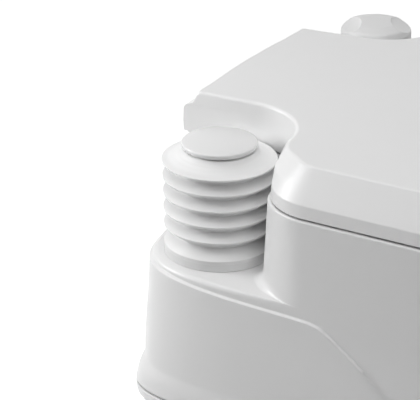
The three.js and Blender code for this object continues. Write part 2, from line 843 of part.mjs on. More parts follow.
function latchNotch(side) {
  const x = [side * (latch.pivotX + latch.notchStart), side * (skirt.halfWidth + OVERRUN)];
  const half = latch.halfWidth + latch.notchSide;
  return block(
    Math.min(...x),
    Math.max(...x),
    latch.y - half,
    latch.y + half,
    SKIRT_Z - OVERRUN,
    SKIRT_Z + latch.notchTop,
  );
}

function freshTank() {
  const bowlTop = bowlSections[0];
  const bowlFoot = bowlSections.at(-1);
  const bowlHole = (section, z0, z1) =>
    loft([z0, z1].map((z) => ovalRing({ ...section, z }, bowl.steps, -FIT)));
  const shell = cut(join(tankOutside(), sidePanel()), tankCavity(), skirtHollow(), hingeRecess());
  const aroundPump = { x: PUMP_X, y: PUMP_Y, sides: 32 };
  const holes = [
    bowlHole(bowlTop, DECK_Z - WALL - OVERRUN, DECK_Z + OVERRUN),
    bowlHole(bowlFoot, FLOOR_Z - OVERRUN, FLOOR_Z + WALL + OVERRUN),
    bar(fill.tailRadius + FIT, DECK_Z - WALL - OVERRUN, DECK_Z + OVERRUN, { x: FILL_X, y: FILL_Y }),
    bar(pump.neckRadius + FIT, LEDGE_Z - WALL - OVERRUN, LEDGE_Z + OVERRUN, aroundPump),
    bar(pump.collarRadius + FIT, LEDGE_Z, LEDGE_Z + pumpBay.fillet, aroundPump),
    block(
      WINDOW_X - freshWindow.halfWidth - FIT,
      WINDOW_X + freshWindow.halfWidth + FIT,
      -skirt.halfDepth,
      -HALF_DEPTH + windowHole,
      freshWindow.bottom - FIT,
      freshWindow.top + FIT,
    ),
  ];
  const notched = cut(shell, latchNotch(-1), latchNotch(1));
  return cut(join(notched, latchLug(-1), latchLug(1), tankLug(-1), tankLug(1)), ...holes, pinHole());
}

const nozzleZ = DECK_Z - nozzle.drop;

function bowlShell() {
  const outside = [...bowlSections].reverse();
  const top = bowlSections[0];
  const rings = (inset) => outside.map((section) => ovalRing(section, bowl.steps, inset));
  const rim = { ...top, z: top.z + bowl.flange };
  const flange = loft([top, rim].map((level) => ovalRing(level, bowl.steps, -bowl.flangeReach)));
  const inside = rings(bowl.wall);
  inside[0] = ovalRing({ ...outside[0], z: outside[0].z - OVERRUN }, bowl.steps, bowl.wall);
  inside.push(ovalRing({ ...rim, z: rim.z + OVERRUN }, bowl.steps, bowl.wall));
  const hole = barY(nozzle.radius + FIT, top.y, top.y + top.halfY, 0, nozzleZ, 16);
  return cut(join(loft(rings(0)), flange), loft(inside), hole);
}

// Rear of the bowl's outside at a level.
function bowlRear(z) {
  const above = bowlSections.findLastIndex((section) => section.z >= z);
  const [high, low] = [bowlSections[above], bowlSections[above + 1]];
  const share = (z - low.z) / (high.z - low.z);
  return THREE.MathUtils.lerp(low.y + low.halfY, high.y + high.halfY, share);
}

function flushNozzle() {
  const rear = bowlRear(nozzleZ);
  const tail = barY(nozzle.radius, rear - nozzle.inside, rear + nozzle.outside, 0, nozzleZ, 16);
  const fan = block(
    -nozzle.mouth,
    nozzle.mouth,
    rear - nozzle.inside - nozzle.radius,
    rear - nozzle.inside,
    nozzleZ - nozzle.radius - nozzle.lip,
    nozzleZ + nozzle.radius,
  );
  const slot = block(
    -nozzle.mouth + nozzle.lip,
    nozzle.mouth - nozzle.lip,
    rear - nozzle.inside - nozzle.radius - OVERRUN,
    rear - nozzle.inside - nozzle.lip,
    nozzleZ - nozzle.radius,
    nozzleZ - nozzle.radius + nozzle.bore,
  );
  const boreStart = rear - nozzle.inside - nozzle.lip * 2;
  const bore = barY(nozzle.bore, boreStart, rear + nozzle.outside + OVERRUN, 0, nozzleZ, 16);
  return cut(join(tail, fan), slot, bore);
}

// Points of the hose's free run, as shares of the way from the barb to the nozzle
const hoseShares = [[0.435, -0.08, 0.39], [0.75, 0.13, 0.9]];

// The hose from the pump's barb to the nozzle, inside the water space.
function flushHose() {
  const start = new THREE.Vector3(PUMP_X + pump.barbReach + FIT, PUMP_Y, LEDGE_Z - pump.barbDrop);
  const end = new THREE.Vector3(0, bowlRear(nozzleZ) + nozzle.outside + FIT, nozzleZ);
  const span = end.clone().sub(start);
  const lead = hose.radius * 2; // straight run at each end
  const route = new THREE.CatmullRomCurve3([
    start,
    new THREE.Vector3(start.x + lead, start.y, start.z),
    ...hoseShares.map(([across, back, up]) =>
      new THREE.Vector3(start.x + span.x * across, start.y + span.y * back, start.z + span.z * up),
    ),
    new THREE.Vector3(end.x, end.y + lead, end.z),
    end,
  ]);
  const ring = new THREE.Shape().absarc(0, 0, hose.radius, 0, Math.PI * 2);
  ring.holes.push(new THREE.Path().absarc(0, 0, hose.bore, 0, Math.PI * 2, true));
  const options = { steps: hose.steps, extrudePath: route, bevelEnabled: false, curveSegments: 4 };
  return toSolid(new THREE.ExtrudeGeometry(ring, options));
}

// Flush pump, about its own axis

function pumpBase() {
  const collarTop = LEDGE_Z + FIT + pump.collarHeight;
  const hubZ = LEDGE_Z - pump.hubLength;
  const body = turned([
    [pump.guideRadius, hubZ],
    [pump.hubRadius, hubZ],
    [pump.hubRadius, LEDGE_Z - pump.neckLength],
    [pump.neckRadius, LEDGE_Z - pump.neckLength],
    [pump.neckRadius, LEDGE_Z + FIT],
    [pump.collarRadius, LEDGE_Z + FIT],
    [pump.collarRadius, collarTop - EDGE],
    [pump.collarRadius - EDGE, collarTop],
    [pump.boreRadius, collarTop],
    [pump.boreRadius, hubZ + pump.floor],
    [pump.guideRadius, hubZ + pump.floor],
    [pump.guideRadius, hubZ],
  ], { sides: 24 });
  const barbZ = LEDGE_Z - pump.barbDrop;
  const barb = barX(pump.barbRadius, pump.barbStart, pump.barbReach, 0, barbZ, 12);
  const portRadius = pump.barbRadius - pump.barbWall;
  const port = barX(portRadius, pump.portStart, pump.barbReach + OVERRUN, 0, barbZ, 12);
  return cut(join(body, barb), port);
}

const pumpGasket = () =>
  tube(
    pump.neckRadius + FIT,
    pump.gasketRadius,
    LEDGE_Z - WALL - FIT - pump.gasketThickness,
    LEDGE_Z - WALL - FIT,
    { sides: 24 },
  );

const pumpLockNut = () => {
  const top = LEDGE_Z - WALL - FIT * 2 - pump.gasketThickness;
  return tube(pump.neckRadius + FIT, pump.nutRadius, top - pump.nutThickness, top, { sides: 24 });
};

const pumpValve = () => {
  const seatZ = LEDGE_Z - pump.hubLength + pump.floor + FIT;
  return tube(pump.guideRadius, pump.boreRadius - FIT, seatZ, seatZ + pump.gasketThickness, { sides: 24 });
};

const bellowsRim = (disc) => LEDGE_Z + bellows.firstRim + disc * bellows.pitch;

// The folded wall: each fold is an open cone above and a hollow undercut below its rim.
function pumpBellows() {
  const footZ = LEDGE_Z + pump.collarHeight + FIT * 2;
  const topRim = bellowsRim(bellows.discs - 1);
  const outside = [[bellows.footRadius, footZ]];
  const inside = [[bellows.valleyRadius - bellows.wall, footZ]];
  for (let disc = 0; disc < bellows.discs; disc++) {
    const rim = bellowsRim(disc);
    const last = disc === bellows.discs - 1;
    if (disc > 0) outside.push([bellows.valleyRadius, rim - bellows.underValley]);
    outside.push([bellows.radius - bellows.undercut, rim - bellows.rimHalf * 2]);
    outside.push([bellows.radius, rim]);
    outside.push([bellows.radius - bellows.rimHalf, rim + bellows.rimHalf]);
    if (!last) outside.push([bellows.valleyRadius, rim + bellows.overValley]);
    inside.push([bellows.radius - bellows.wall * 2, rim]);
    if (!last) inside.push([bellows.valleyRadius - bellows.wall, rim + bellows.pitch / 2]);
  }
  outside.push([bellows.topRadius, topRim + bellows.topRise], [pump.guideRadius, topRim + bellows.topRise]);
  inside.push([pump.guideRadius, topRim + bellows.topRise - bellows.wall]);
  return turned([...outside, ...inside.reverse(), outside[0]], { sides: 22 });
}

const domeShare = 0.75; // dome's height halfway out
const BUTTON_Z = bellowsRim(bellows.discs - 1) + bellows.topRise + FIT; // underside of the button

function pumpButton() {
  const rimZ = BUTTON_Z + button.neck;
  const profile = [
    [pump.rodRadius + FIT, BUTTON_Z],
    [button.neckRadius, BUTTON_Z],
    [button.neckRadius + EDGE, rimZ - EDGE],
    [button.radius - EDGE, rimZ],
    [button.radius, rimZ + EDGE],
    [button.radius, rimZ + button.rim - EDGE],
    [button.radius - EDGE, rimZ + button.rim],
    [button.radius / 2, rimZ + button.rim + button.dome * domeShare],
    [0, rimZ + button.rim + button.dome],
    [0, BUTTON_Z + button.socket],
    [pump.rodRadius + FIT, BUTTON_Z + button.socket],
    [pump.rodRadius + FIT, BUTTON_Z],
  ];
  return turned(profile, { sides: 24 });
}

const pumpRod = () =>
  bar(pump.rodRadius, LEDGE_Z - pump.rodTail, BUTTON_Z + button.socket - FIT, { sides: 12 });

const suctionBottom = FLOOR_Z + suction.lift;

const suctionPipe = () =>
  tube(suction.bore, suction.radius, suctionBottom, LEDGE_Z - pump.hubLength - FIT, { sides: 16 });

function suctionStrainer() {
  const top = suctionBottom + suction.radius;
  const bottom = suctionBottom - suction.strainerHeight;
  const cup = turned([
    [0, bottom],
    [suction.strainerRadius, bottom],
    [suction.strainerRadius, top - suction.slot],
    [suction.radius + suction.slot, top],
    [suction.radius + FIT, top],
    [suction.radius + FIT, suctionBottom - FIT],
    [0, suctionBottom - FIT],
    [0, bottom],
  ], { sides: 20 });
  const hollow = bar(suction.bore, bottom + suction.slot, suctionBottom, { sides: 16 });
  const slots = [];
  for (let i = 0; i < suction.slots; i++) {
    const through = suction.strainerRadius * 2 + OVERRUN;
    const slot = new THREE.BoxGeometry(through, suction.slot, suction.slotHeight);
    slot.rotateZ((i / suction.slots) * Math.PI).translate(0, 0, bottom + suction.strainerHeight / 2);
    slots.push(toSolid(slot));
  }
  return cut(cup, hollow, ...slots);
}

// Fill neck and cap, about their own axis

const fillNeck = () =>
  turned([
    [fill.boreRadius, DECK_Z - fill.tail],
    [fill.tailRadius, DECK_Z - fill.tail],
    [fill.tailRadius, DECK_Z + FIT],
    [fill.flangeRadius, DECK_Z + FIT],
    [fill.flangeRadius, DECK_Z + FIT + fill.flange],
    [fill.neckRadius, DECK_Z + FIT + fill.flange],
    [fill.neckRadius, DECK_Z + fill.neckHeight],
    [fill.boreRadius, DECK_Z + fill.neckHeight],
    [fill.boreRadius, DECK_Z - fill.tail],
  ]);

const fillCapSeal = () => {
  const z = DECK_Z + fill.neckHeight + FIT;
  return tube(fill.boreRadius, fill.neckRadius, z, z + cap.sealThickness);
};

const scoopShare = 0.8; // a finger scoop's centre beyond the grip, in its radii
const crownShare = 0.5; // of the cap's radius, where its top starts to fall

function fillCap() {
  const bore = cap.radius - cap.wall;
  const roof = DECK_Z + fill.neckHeight + cap.sealThickness + FIT * 2;
  const [shoulder, top] = [DECK_Z + cap.shoulder, DECK_Z + cap.top];
  const body = turned([
    [bore, DECK_Z + cap.bottom],
    [cap.radius, DECK_Z + cap.bottom],
    [cap.radius, shoulder],
    [cap.radius - cap.crown / 2, shoulder + cap.crown],
    [cap.radius - cap.crown * 2, shoulder + cap.crown * 2],
    [cap.radius - cap.gripWall, top - cap.crown],
    [cap.radius * crownShare, top - cap.crown / 4],
    [0, top],
    [0, roof],
    [bore, roof],
    [bore, DECK_Z + cap.bottom],
  ], { sides: 24 });
  const scoops = [-1, 1].map((side) => {
    const round = new THREE.SphereGeometry(cap.scoopRadius, 16, 10);
    round.scale(cap.radius / cap.scoopRadius, 1, cap.scoopDepth / cap.scoopRadius);
    round.translate(0, side * (cap.gripHalfWidth + cap.scoopRadius * scoopShare), top);
    return toSolid(round.rotateZ(cap.scoopTurn));
  });
  return cut(body, ...scoops);
}

// Seat and lid

function hingeKnuckles([near, far], radius) {
  return [-1, 1].map((side) => {
    const [low, high] = [side * near, side * far].sort((a, b) => a - b);
    return barX(radius, low, high, hinge.y, hinge.z);
  });
}

const bays = { left: pumpBay, right: capBay };

function lidRing(z, inset, rearInset, wallInset, extra = 0) {
  return bodyRing({
    z,
    inset: inset + extra,
    rearInset: rearInset + extra,
    wallInset: wallInset + extra,
    ...bays,
  });
}

// The chamfer's inset at a level between its two soft ends.
function chamferAt(z) {
  const [low, high] = [DECK_Z + lid.seam + lid.band + lid.softRise, LID_Z - lid.crease];
  const lowInset = (lid.chamfer * lid.softRise * lid.softShare) / (LID_Z - low + lid.softRise);
  return THREE.MathUtils.mapLinear(z, low, high, lowInset, lid.chamfer * lid.creaseShare);
}

function lidOutside() {
  const bottom = DECK_Z + lid.seam;
  const bandTop = bottom + lid.band;
  const rising = [
    [bandTop + lid.softRise, 0],
    [LID_Z - lid.rearDrop, 0],
    [LID_Z - lid.rearRoundDrop, lid.rearRound],
    [LID_Z - lid.rearShelfDrop, lid.rearShelf],
    [LID_Z - lid.crease, lid.rearRun],
  ];
  const foot = lid.wallEdge / 2;
  return loft([
    lidRing(bottom, foot, foot, foot),
    lidRing(bottom + foot, 0, 0, 0),
    lidRing(bandTop, 0, 0, 0),
    ...rising.map(([z, rearInset]) => lidRing(z, chamferAt(z), rearInset, 0)),
    lidRing(LID_Z, lid.chamfer + lid.soft, lid.rearTop, lid.wallEdge),
  ]);
}

// The lid's inside, less the cheeks that close its rear corners round the hinge pins.
function lidInside() {
  const bottom = DECK_Z + lid.seam;
  const space = loft([
    lidRing(bottom - OVERRUN, 0, 0, 0, WALL),
    lidRing(bottom + lid.band, 0, 0, 0, WALL),
    lidRing(LID_Z - WALL, lid.chamfer * lid.insideShare, lid.rearRun, 0, WALL),
  ]);
  const near = lidKnuckle[0];
  const webs = [-1, 1].map((side) => {
    const [low, high] = [side * near, side * (near + WALL)].sort((a, b) => a - b);
    return block(low, high, hinge.y - lid.webFront, HALF_DEPTH, bottom - OVERRUN, LID_Z);
  });
  return cut(space, ...webs, ...hingeKnuckles(lidKnuckle, hinge.radius));
}

function lidShell() {
  const below = DECK_Z + lid.seam - OVERRUN;
  const near = lidKnuckle[0];
  const behind = HALF_DEPTH + OVERRUN;
  const trough = block(-near, near, hinge.y - lid.troughFront, behind, below, hinge.z + lid.troughRise);
  const rearCut = block(-near, near, hinge.y + lid.troughRear, behind, below, LID_Z - lid.rearShelfDrop);
  return cut(lidOutside(), lidInside(), trough, rearCut, pinHole());
}

const seatTop = seat.bottom + seat.thickness;

function seatRing() {
  const ringAt = (z, extra) =>
    bodyRing({ z, inset: seat.inset + extra, wallInset: seat.inset + extra, ...bays });
  const outside = loft([
    ringAt(seat.bottom, seat.edge / 3),
    ringAt(seat.bottom + seat.edge / 3, 0),
    ringAt(seatTop - seat.edge, seat.edge / 2),
    ringAt(seatTop - seat.edge / 4, seat.edge),
    ringAt(seatTop, seat.edge * 2),
  ]);
  const hole = { halfX: bowl.halfX - seat.rim, halfY: bowl.halfY - seat.rim, y: bowl.y };
  const opening = loft([
    ovalRing({ ...hole, z: seat.bottom - OVERRUN }, bowl.steps),
    ovalRing({ ...hole, z: seatTop - seat.edge }, bowl.steps),
    ovalRing({ ...hole, z: seatTop - seat.edge / 4 }, bowl.steps, -seat.edge / 3),
    ovalRing({ ...hole, z: seatTop + seat.edge / 4 }, bowl.steps, -seat.edge),
  ]);
  const [below, above] = [seat.bottom - OVERRUN, seatTop + OVERRUN];
  const rear = block(-HALF_WIDTH, HALF_WIDTH, seat.rearY, HALF_DEPTH, below, above);
  const [near, far] = seatKnuckle;
  const arms = [-1, 1].map((side) =>
    block(
      Math.min(side * near, side * far),
      Math.max(side * near, side * far),
      seat.rearY - OVERRUN,
      hinge.y,
      seat.bottom,
      seatTop - seat.armDrop,
    ),
  );
  const knuckles = hingeKnuckles(seatKnuckle, hinge.seatRadius);
  return cut(join(cut(outside, opening, rear), ...arms, ...knuckles), pinHole());
}

const seatBuffer = (x, y) => {
  const bottom = DECK_Z + FIT;
  return turned([
    [0, bottom],
    [seat.bufferRadius, bottom],
    [seat.bufferRadius, seat.bottom - FIT - EDGE],
    [seat.bufferRadius - EDGE, seat.bottom - FIT],
    [0, seat.bottom - FIT],
  ], { x, y, sides: 16 });
};

const lidBuffer = (x, y) => bar(lid.bufferRadius, seatTop + FIT, LID_Z - WALL - FIT, { x, y, sides: 16 });

function hingePin(side) {
  const [low, high] = [side * seatKnuckle[0], side * pinEnd].sort((a, b) => a - b);
  return barX(hinge.pinRadius, low, high, hinge.y, hinge.z, 16);
}

function drainCollar() {
  const top = bowl.foot - FIT;
  const bottom = valve.floorZ + valve.height + FIT;
  return turned([
    [collar.bore, bottom],
    [collar.radius - collar.bulge, bottom],
    [collar.radius, (top + bottom) / 2],
    [collar.radius - collar.bulge, top],
    [collar.bore, top],
    [collar.bore, bottom],
  ], { sides: 24 });
}

function freshLevelWindow() {
  const { halfWidth, thickness, bottom, top } = freshWindow;
  const face = -superX(HALF_DEPTH, HALF_WIDTH, CORNER_POWER, WINDOW_X);
  return block(WINDOW_X - halfWidth, WINDOW_X + halfWidth, face, face + thickness, bottom, top);
}

// Waste section

// One level of the waste section, its outline drawn in from the body's.
const wasteRing = (z, inset) => bodyRing({ z, halfX: HALF_WIDTH - inset, halfY: HALF_DEPTH - inset });

const wasteWindowZ = SHOULDER_Z - wasteWindow.drop;
const ventStemHole = vent.stemRadius + FIT;
const riserHole = spout.riserRadius + FIT * 2;
const latchPinHole = latch.pinRadius + FIT;

function wasteOutside() {
  const { baseInset, baseCorner, baseRound, sideInset, draft, shoulderOut, tuck, deckEdge } = waste;
  return loft([
    wasteRing(0, baseInset),
    wasteRing(baseCorner, baseInset - baseCorner * waste.baseCornerShare),
    wasteRing(baseCorner + baseRound, sideInset + draft),
    ...shoulderShares.map(([down, out]) =>
      wasteRing(SHOULDER_Z - tuck * down, sideInset - shoulderOut * out),
    ),
    wasteRing(SHOULDER_Z, sideInset),
    wasteRing(WASTE_DECK_Z - deckEdge, sideInset),
    wasteRing(WASTE_DECK_Z, sideInset + deckEdge),
  ]);
}

function spoutNotch(wall = 0) {
  return block(
    spoutCapRoof - spout.capWall - spout.notchEnd - wall,
    skirt.halfWidth + OVERRUN,
    spoutNotchY - wall,
    skirt.halfDepth + OVERRUN,
    spoutShelfZ - wall,
    WASTE_DECK_Z + OVERRUN,
  );
}

function valvePocket(wall = 0) {
  return block(
    -valve.halfWidth - FIT - wall,
    valve.halfWidth + FIT + wall,
    valve.front - FIT - wall,
    valve.rear + FIT + wall,
    valve.floorZ - FIT - wall,
    WASTE_DECK_Z + OVERRUN,
  );
}

function bladeChannel(wall = 0) {
  return block(
    -valve.bladeHalfWidth - FIT - wall,
    valve.bladeHalfWidth + FIT + wall,
    -skirt.halfDepth - OVERRUN,
    valve.front,
    valve.floorZ - FIT - wall,
    WASTE_DECK_Z + OVERRUN,
  );
}

function handlePocket(wall = 0) {
  return block(
    -valve.gripHalfWidth - valve.pocketSide - wall,
    valve.gripHalfWidth + valve.pocketSide + wall,
    -skirt.halfDepth - OVERRUN,
    valve.pocketDepth - HALF_DEPTH + wall,
    valve.floorZ - valve.pocketDrop - wall,
    WASTE_DECK_Z + OVERRUN,
  );
}

function latchPocket(side, wall = 0) {
  const x = [side * (latch.pivotX - latch.pocketDepth - wall), side * (skirt.halfWidth + OVERRUN)];
  const half = latch.halfWidth + latch.pocketSide + (wall && WALL + latch.pinHold);
  const top = wall ? WASTE_DECK_Z + OVERRUN : SHOULDER_Z + OVERRUN;
  const bottom = latch.pivotZ - latch.pocketDrop - wall;
  return block(Math.min(...x), Math.max(...x), latch.y - half, latch.y + half, bottom, top);
}

function gripPocket(wall = 0) {
  const half = grip.halfWidth + wall;
  const rear = -HALF_DEPTH + grip.depth + wall;
  return block(-half, half, -skirt.halfDepth - OVERRUN, rear, gripTop - grip.height - wall, gripTop + wall);
}

const ventRecess = (wall = 0) =>
  bar(vent.recessRadius + wall, ventFloorZ - wall, WASTE_DECK_Z + OVERRUN, { x: ventX, y: ventY });

const screwPlaces = [-1, 1].flatMap((side) =>
  [valve.front + valve.screwInset, valve.rear - valve.screwInset].map((y) => [
    side * (valve.halfWidth - valve.screwInset),
    y,
  ]),
);
const screwHole = valve.screwShank + FIT;

function wasteTank() {
  const space = loft([
    wasteRing(WALL, waste.baseInset + WALL),
    wasteRing(waste.baseCorner + waste.baseRound, waste.sideInset + waste.draft + WALL),
    wasteRing(WASTE_DECK_Z - WALL, waste.sideInset + WALL),
  ]);
  const bosses = screwPlaces.map(([x, y]) =>
    bar(valve.boss, valve.floorZ - valve.screwLength, valve.floorZ - FIT, { x, y, sides: 16 }),
  );
  const kept = cut(
    space,
    spoutNotch(WALL),
    valvePocket(WALL),
    bladeChannel(WALL),
    handlePocket(WALL),
    latchPocket(-1, WALL),
    latchPocket(1, WALL),
    gripPocket(WALL),
    ventRecess(WALL),
    ...bosses,
  );
  const shell = cut(wasteOutside(), kept);
  const latchHalf = latch.halfWidth + latch.pocketSide + latch.pinHold;
  const aroundSpout = { x: spout.x, y: spout.y, sides: 32 };
  const aroundVent = { x: ventX, y: ventY, sides: 16 };
  const holes = [
    bar(valve.throat, valve.floorZ - WALL - OVERRUN, valve.floorZ + OVERRUN, { sides: 24 }),
    bar(riserHole, spoutShelfZ - WALL - OVERRUN, spoutShelfZ + OVERRUN, aroundSpout),
    bar(ventStemHole, ventFloorZ - WALL - OVERRUN, ventFloorZ + OVERRUN, aroundVent),
    ...[-1, 1].map((side) =>
      barY(latchPinHole, latch.y - latchHalf, latch.y + latchHalf, side * latch.pivotX, latch.pivotZ, 12),
    ),
    barX(
      grip.stubRadius + FIT,
      -grip.halfWidth - grip.stub,
      grip.halfWidth + grip.stub,
      gripBarY,
      gripBarZ,
      16,
    ),
    barY(
      wasteWindow.radius + FIT,
      -skirt.halfDepth,
      -HALF_DEPTH + windowHole,
      WINDOW_X,
      wasteWindowZ,
    ),
    ...screwPlaces.map(([x, y]) =>
      bar(screwHole, valve.floorZ - valve.screwLength + WALL, valve.floorZ + OVERRUN, { x, y, sides: 12 }),
    ),
  ];
  return cut(
    shell,
    spoutNotch(),
    valvePocket(),
    bladeChannel(),
    handlePocket(),
    latchPocket(-1),
    latchPocket(1),
    gripPocket(),
    ventRecess(),
    ...holes,
  );
}

function valveBody() {
  const [bottom, top] = [valve.floorZ, valve.floorZ + valve.height];
  const outline = roundedRectangle(-valve.halfWidth, valve.halfWidth, valve.front, valve.rear, valve.boss);
  const body = plate(outline, bottom, top);
  const bladeZ = bottom + valve.bladeFloor;
  const slot = block(
    -valve.bladeHalfWidth - FIT,
    valve.bladeHalfWidth + FIT,
    valve.front - OVERRUN,
    valve.bladeRear + FIT,
    bladeZ - FIT,
    bladeZ + valve.blade + FIT,
  );
  return cut(
    body,
    slot,
    bar(valve.throat, bottom - OVERRUN, top + OVERRUN, { sides: 24 }),
    bar(valve.sealRadius + FIT, bottom - OVERRUN, bladeZ, { sides: 24 }),
    ...screwPlaces.map(([x, y]) => bar(screwHole, bottom - OVERRUN, top + OVERRUN, { x, y, sides: 12 })),
  );
}

const valveLipSeal = () =>
  tube(valve.throat, valve.sealRadius, valve.floorZ, valve.floorZ + valve.bladeFloor - FIT, { sides: 24 });

function valveBlade() {
  const z = valve.floorZ + valve.bladeFloor;
  const shape = roundedRectangle(
    -valve.bladeHalfWidth,
    valve.bladeHalfWidth,
    valve.bladeFront,
    valve.bladeRear,
    valve.boss,
  );
  return plate(shape, z, z + valve.blade);
}

function valveHandle() {
  const z = valve.floorZ + valve.bladeFloor;
  const gripRear = valve.gripDepth - valve.gripProud - HALF_DEPTH;
  const rod = block(
    -valve.rodHalfWidth,
    valve.rodHalfWidth,
    gripRear - OVERRUN,
    valve.bladeFront - FIT,
    z,
    z + valve.blade,
  );
  const pull = plate(
    roundedRectangle(
      -valve.gripHalfWidth,
      valve.gripHalfWidth,
      gripRear - valve.gripDepth,
      gripRear,
      valve.gripDepth / 3,
    ),
    z - valve.gripDrop,
    z + valve.gripRise,
  );
  return join(rod, pull);
}

function valveScrew(x, y) {
  const head = valve.floorZ + valve.height + FIT;
  const foot = valve.floorZ - valve.screwLength + WALL + FIT;
  return turned([
    [0, foot],
    [valve.screwShank, foot],
    [valve.screwShank, head],
    [valve.screwHead, head],
    [valve.screwHead, head + valve.screwHeadHeight / 2],
    [valve.screwShank, head + valve.screwHeadHeight],
    [0, head + valve.screwHeadHeight],
  ], { x, y, sides: 12 });
}

// Pouring spout, stored along the rear

const spoutFlangeZ = spoutShelfZ + FIT * 2 + spout.sealThickness;

function pourSpout() {
  const { x, y, z } = spout;
  const elbow = (radius) =>
    toSolid(new THREE.SphereGeometry(radius, 16, 8).rotateX(Math.PI / 2).translate(x, y, z));
  const outside = join(
    bar(spout.riserRadius, spoutShelfZ - spout.riserTail, z, { x, y, sides: 16 }),
    elbow(spout.riserRadius),
    barX(spout.tubeRadius, spoutMouth, x, y, z, 16),
    bar(spout.flangeRadius, spoutFlangeZ, spoutFlangeZ + spout.flange, { x, y }),
  );
  return cut(
    outside,
    bar(spout.bore, spoutShelfZ - spout.riserTail - OVERRUN, z, { x, y, sides: 16 }),
    elbow(spout.bore),
    barX(spout.bore, spoutMouth - OVERRUN, x, y, z, 16),
  );
}

const spoutSeal = () =>
  tube(riserHole, spout.flangeRadius, spoutShelfZ + FIT, spoutShelfZ + FIT + spout.sealThickness, {
    x: spout.x,
    y: spout.y,
  });

function spoutCap() {
  const { y, z, capRadius, capWall } = spout;
  const rim = spoutMouth + spout.capLength;
  const body = barX(capRadius, spoutCapRoof - capWall, rim, y, z, 28);
  return cut(body, barX(capRadius - capWall, spoutCapRoof, rim + OVERRUN, y, z, 28));
}

function spoutCapSeal() {
  const face = spoutMouth - FIT;
  return barX(spout.tubeRadius, face - spout.sealThickness, face, spout.y, spout.z, 24);
}

// Vent button with its spring and seal

const ventButton = () =>
  turned([
    [0, ventFloorZ - vent.stemTail],
    [vent.stemRadius, ventFloorZ - vent.stemTail],
    [vent.stemRadius, ventTopZ - vent.cap],
    [vent.buttonRadius, ventTopZ - vent.cap],
    [vent.buttonRadius, ventTopZ - EDGE],
    [vent.buttonRadius - EDGE, ventTopZ],
    [0, ventTopZ],
  ], { x: ventX, y: ventY, sides: 20 });

const ventSeal = () =>
  tube(ventStemHole, vent.sealRadius, ventFloorZ + FIT, ventFloorZ + FIT + vent.sealThickness, {
    x: ventX,
    y: ventY,
    sides: 20,
  });

class Helix extends THREE.Curve {
  constructor(radius, bottom, top, turns) {
    super();
    Object.assign(this, { radius, bottom, top, turns });
  }
  getPoint(t, target = new THREE.Vector3()) {
    const turn = t * this.turns * Math.PI * 2;
    const z = THREE.MathUtils.lerp(this.bottom, this.top, t);
    return target.set(this.radius * Math.cos(turn), this.radius * Math.sin(turn), z);
  }
}

function ventSpring() {
  const bottom = ventFloorZ + FIT * 2 + vent.sealThickness + vent.springWire;
  const top = ventTopZ - vent.cap - FIT - vent.springWire;
  const wire = new THREE.Shape().absarc(0, 0, vent.springWire, 0, Math.PI * 2);
  const coil = new THREE.ExtrudeGeometry(wire, {
    steps: vent.springTurns * 8,
    curveSegments: 3,
    extrudePath: new Helix(vent.springRadius, bottom, top, vent.springTurns),
  });
  return toSolid(coil.translate(ventX, ventY, 0));
}

// Side latches, hanging open

function latchLever(side) {
  const plateX = side * (latch.pivotX - latch.offset);
  const x = [plateX - latch.thickness / 2, plateX + latch.thickness / 2];
  const [y0, y1] = [latch.y - latch.halfWidth, latch.y + latch.halfWidth];
  const lever = block(x[0], x[1], y0, y1, latch.pivotZ - latch.length, latch.pivotZ + latch.eyeRadius / 2);
  const eye = barY(latch.eyeRadius, y0, y1, side * latch.pivotX, latch.pivotZ, 20);
  const [near, far] = [plateX, side * latch.pivotX].sort((a, b) => a - b);
  const halfBridge = latch.eyeRadius / 2;
  const bridge = block(near, far, y0, y1, latch.pivotZ - halfBridge, latch.pivotZ + halfBridge);
  const window = block(
    x[0] - OVERRUN,
    x[1] + OVERRUN,
    latch.y - latch.windowHalf,
    latch.y + latch.windowHalf,
    latch.pivotZ - latch.windowFar,
    latch.pivotZ - latch.windowNear,
  );
  const hole = barY(latchPinHole, y0 - OVERRUN, y1 + OVERRUN, side * latch.pivotX, latch.pivotZ, 12);
  return cut(join(lever, eye, bridge), window, hole);
}

function latchPin(side) {
  const half = latch.halfWidth + latch.pocketSide + latch.pinHold - FIT;
  return barY(latch.pinRadius, latch.y - half, latch.y + half, side * latch.pivotX, latch.pivotZ, 12);
}

function carryHandle() {
  const half = grip.halfWidth - FIT;
  const stubs = half + grip.stub;
  return join(
    barX(grip.barRadius, -half, half, gripBarY, gripBarZ, 20),
    barX(grip.stubRadius, -stubs, stubs, gripBarY, gripBarZ, 16),
  );
}

function wasteLevelWindow() {
  const [halfX, halfY] = [HALF_WIDTH - waste.sideInset, HALF_DEPTH - waste.sideInset];
  const face = -superX(halfY, halfX, CORNER_POWER, WINDOW_X);
  return barY(wasteWindow.radius, face, face + wasteWindow.thickness, WINDOW_X, wasteWindowZ);
}

// Assembly

function piece(name, solid, finish) {
  const mesh = new THREE.Mesh(fromSolid(solid), finishes[finish].clone());
  mesh.name = name;
  return mesh;
}

function gathered(...members) {
  const group = new THREE.Group();
  group.add(...members);
  return group;
}

function pumpGroup() {
  const group = gathered(
    piece("pump_base", pumpBase(), "shell"),
    piece("pump_gasket", pumpGasket(), "rubber"),
    piece("pump_lock_nut", pumpLockNut(), "grey"),
    piece("pump_valve", pumpValve(), "rubber"),
    piece("pump_bellows", pumpBellows(), "soft"),
    piece("pump_button", pumpButton(), "glossy"),
    piece("pump_rod", pumpRod(), "grey"),
    piece("suction_pipe", suctionPipe(), "grey"),
    piece("suction_strainer", suctionStrainer(), "grey"),
  );
  group.position.set(PUMP_X, PUMP_Y, 0);
  return group;
}

function fillGroup() {
  const group = gathered(
    piece("fill_neck", fillNeck(), "shell"),
    piece("fill_cap_seal", fillCapSeal(), "rubber"),
    piece("fill_cap", fillCap(), "shell"),
  );
  group.position.set(FILL_X, FILL_Y, 0);
  return group;
}

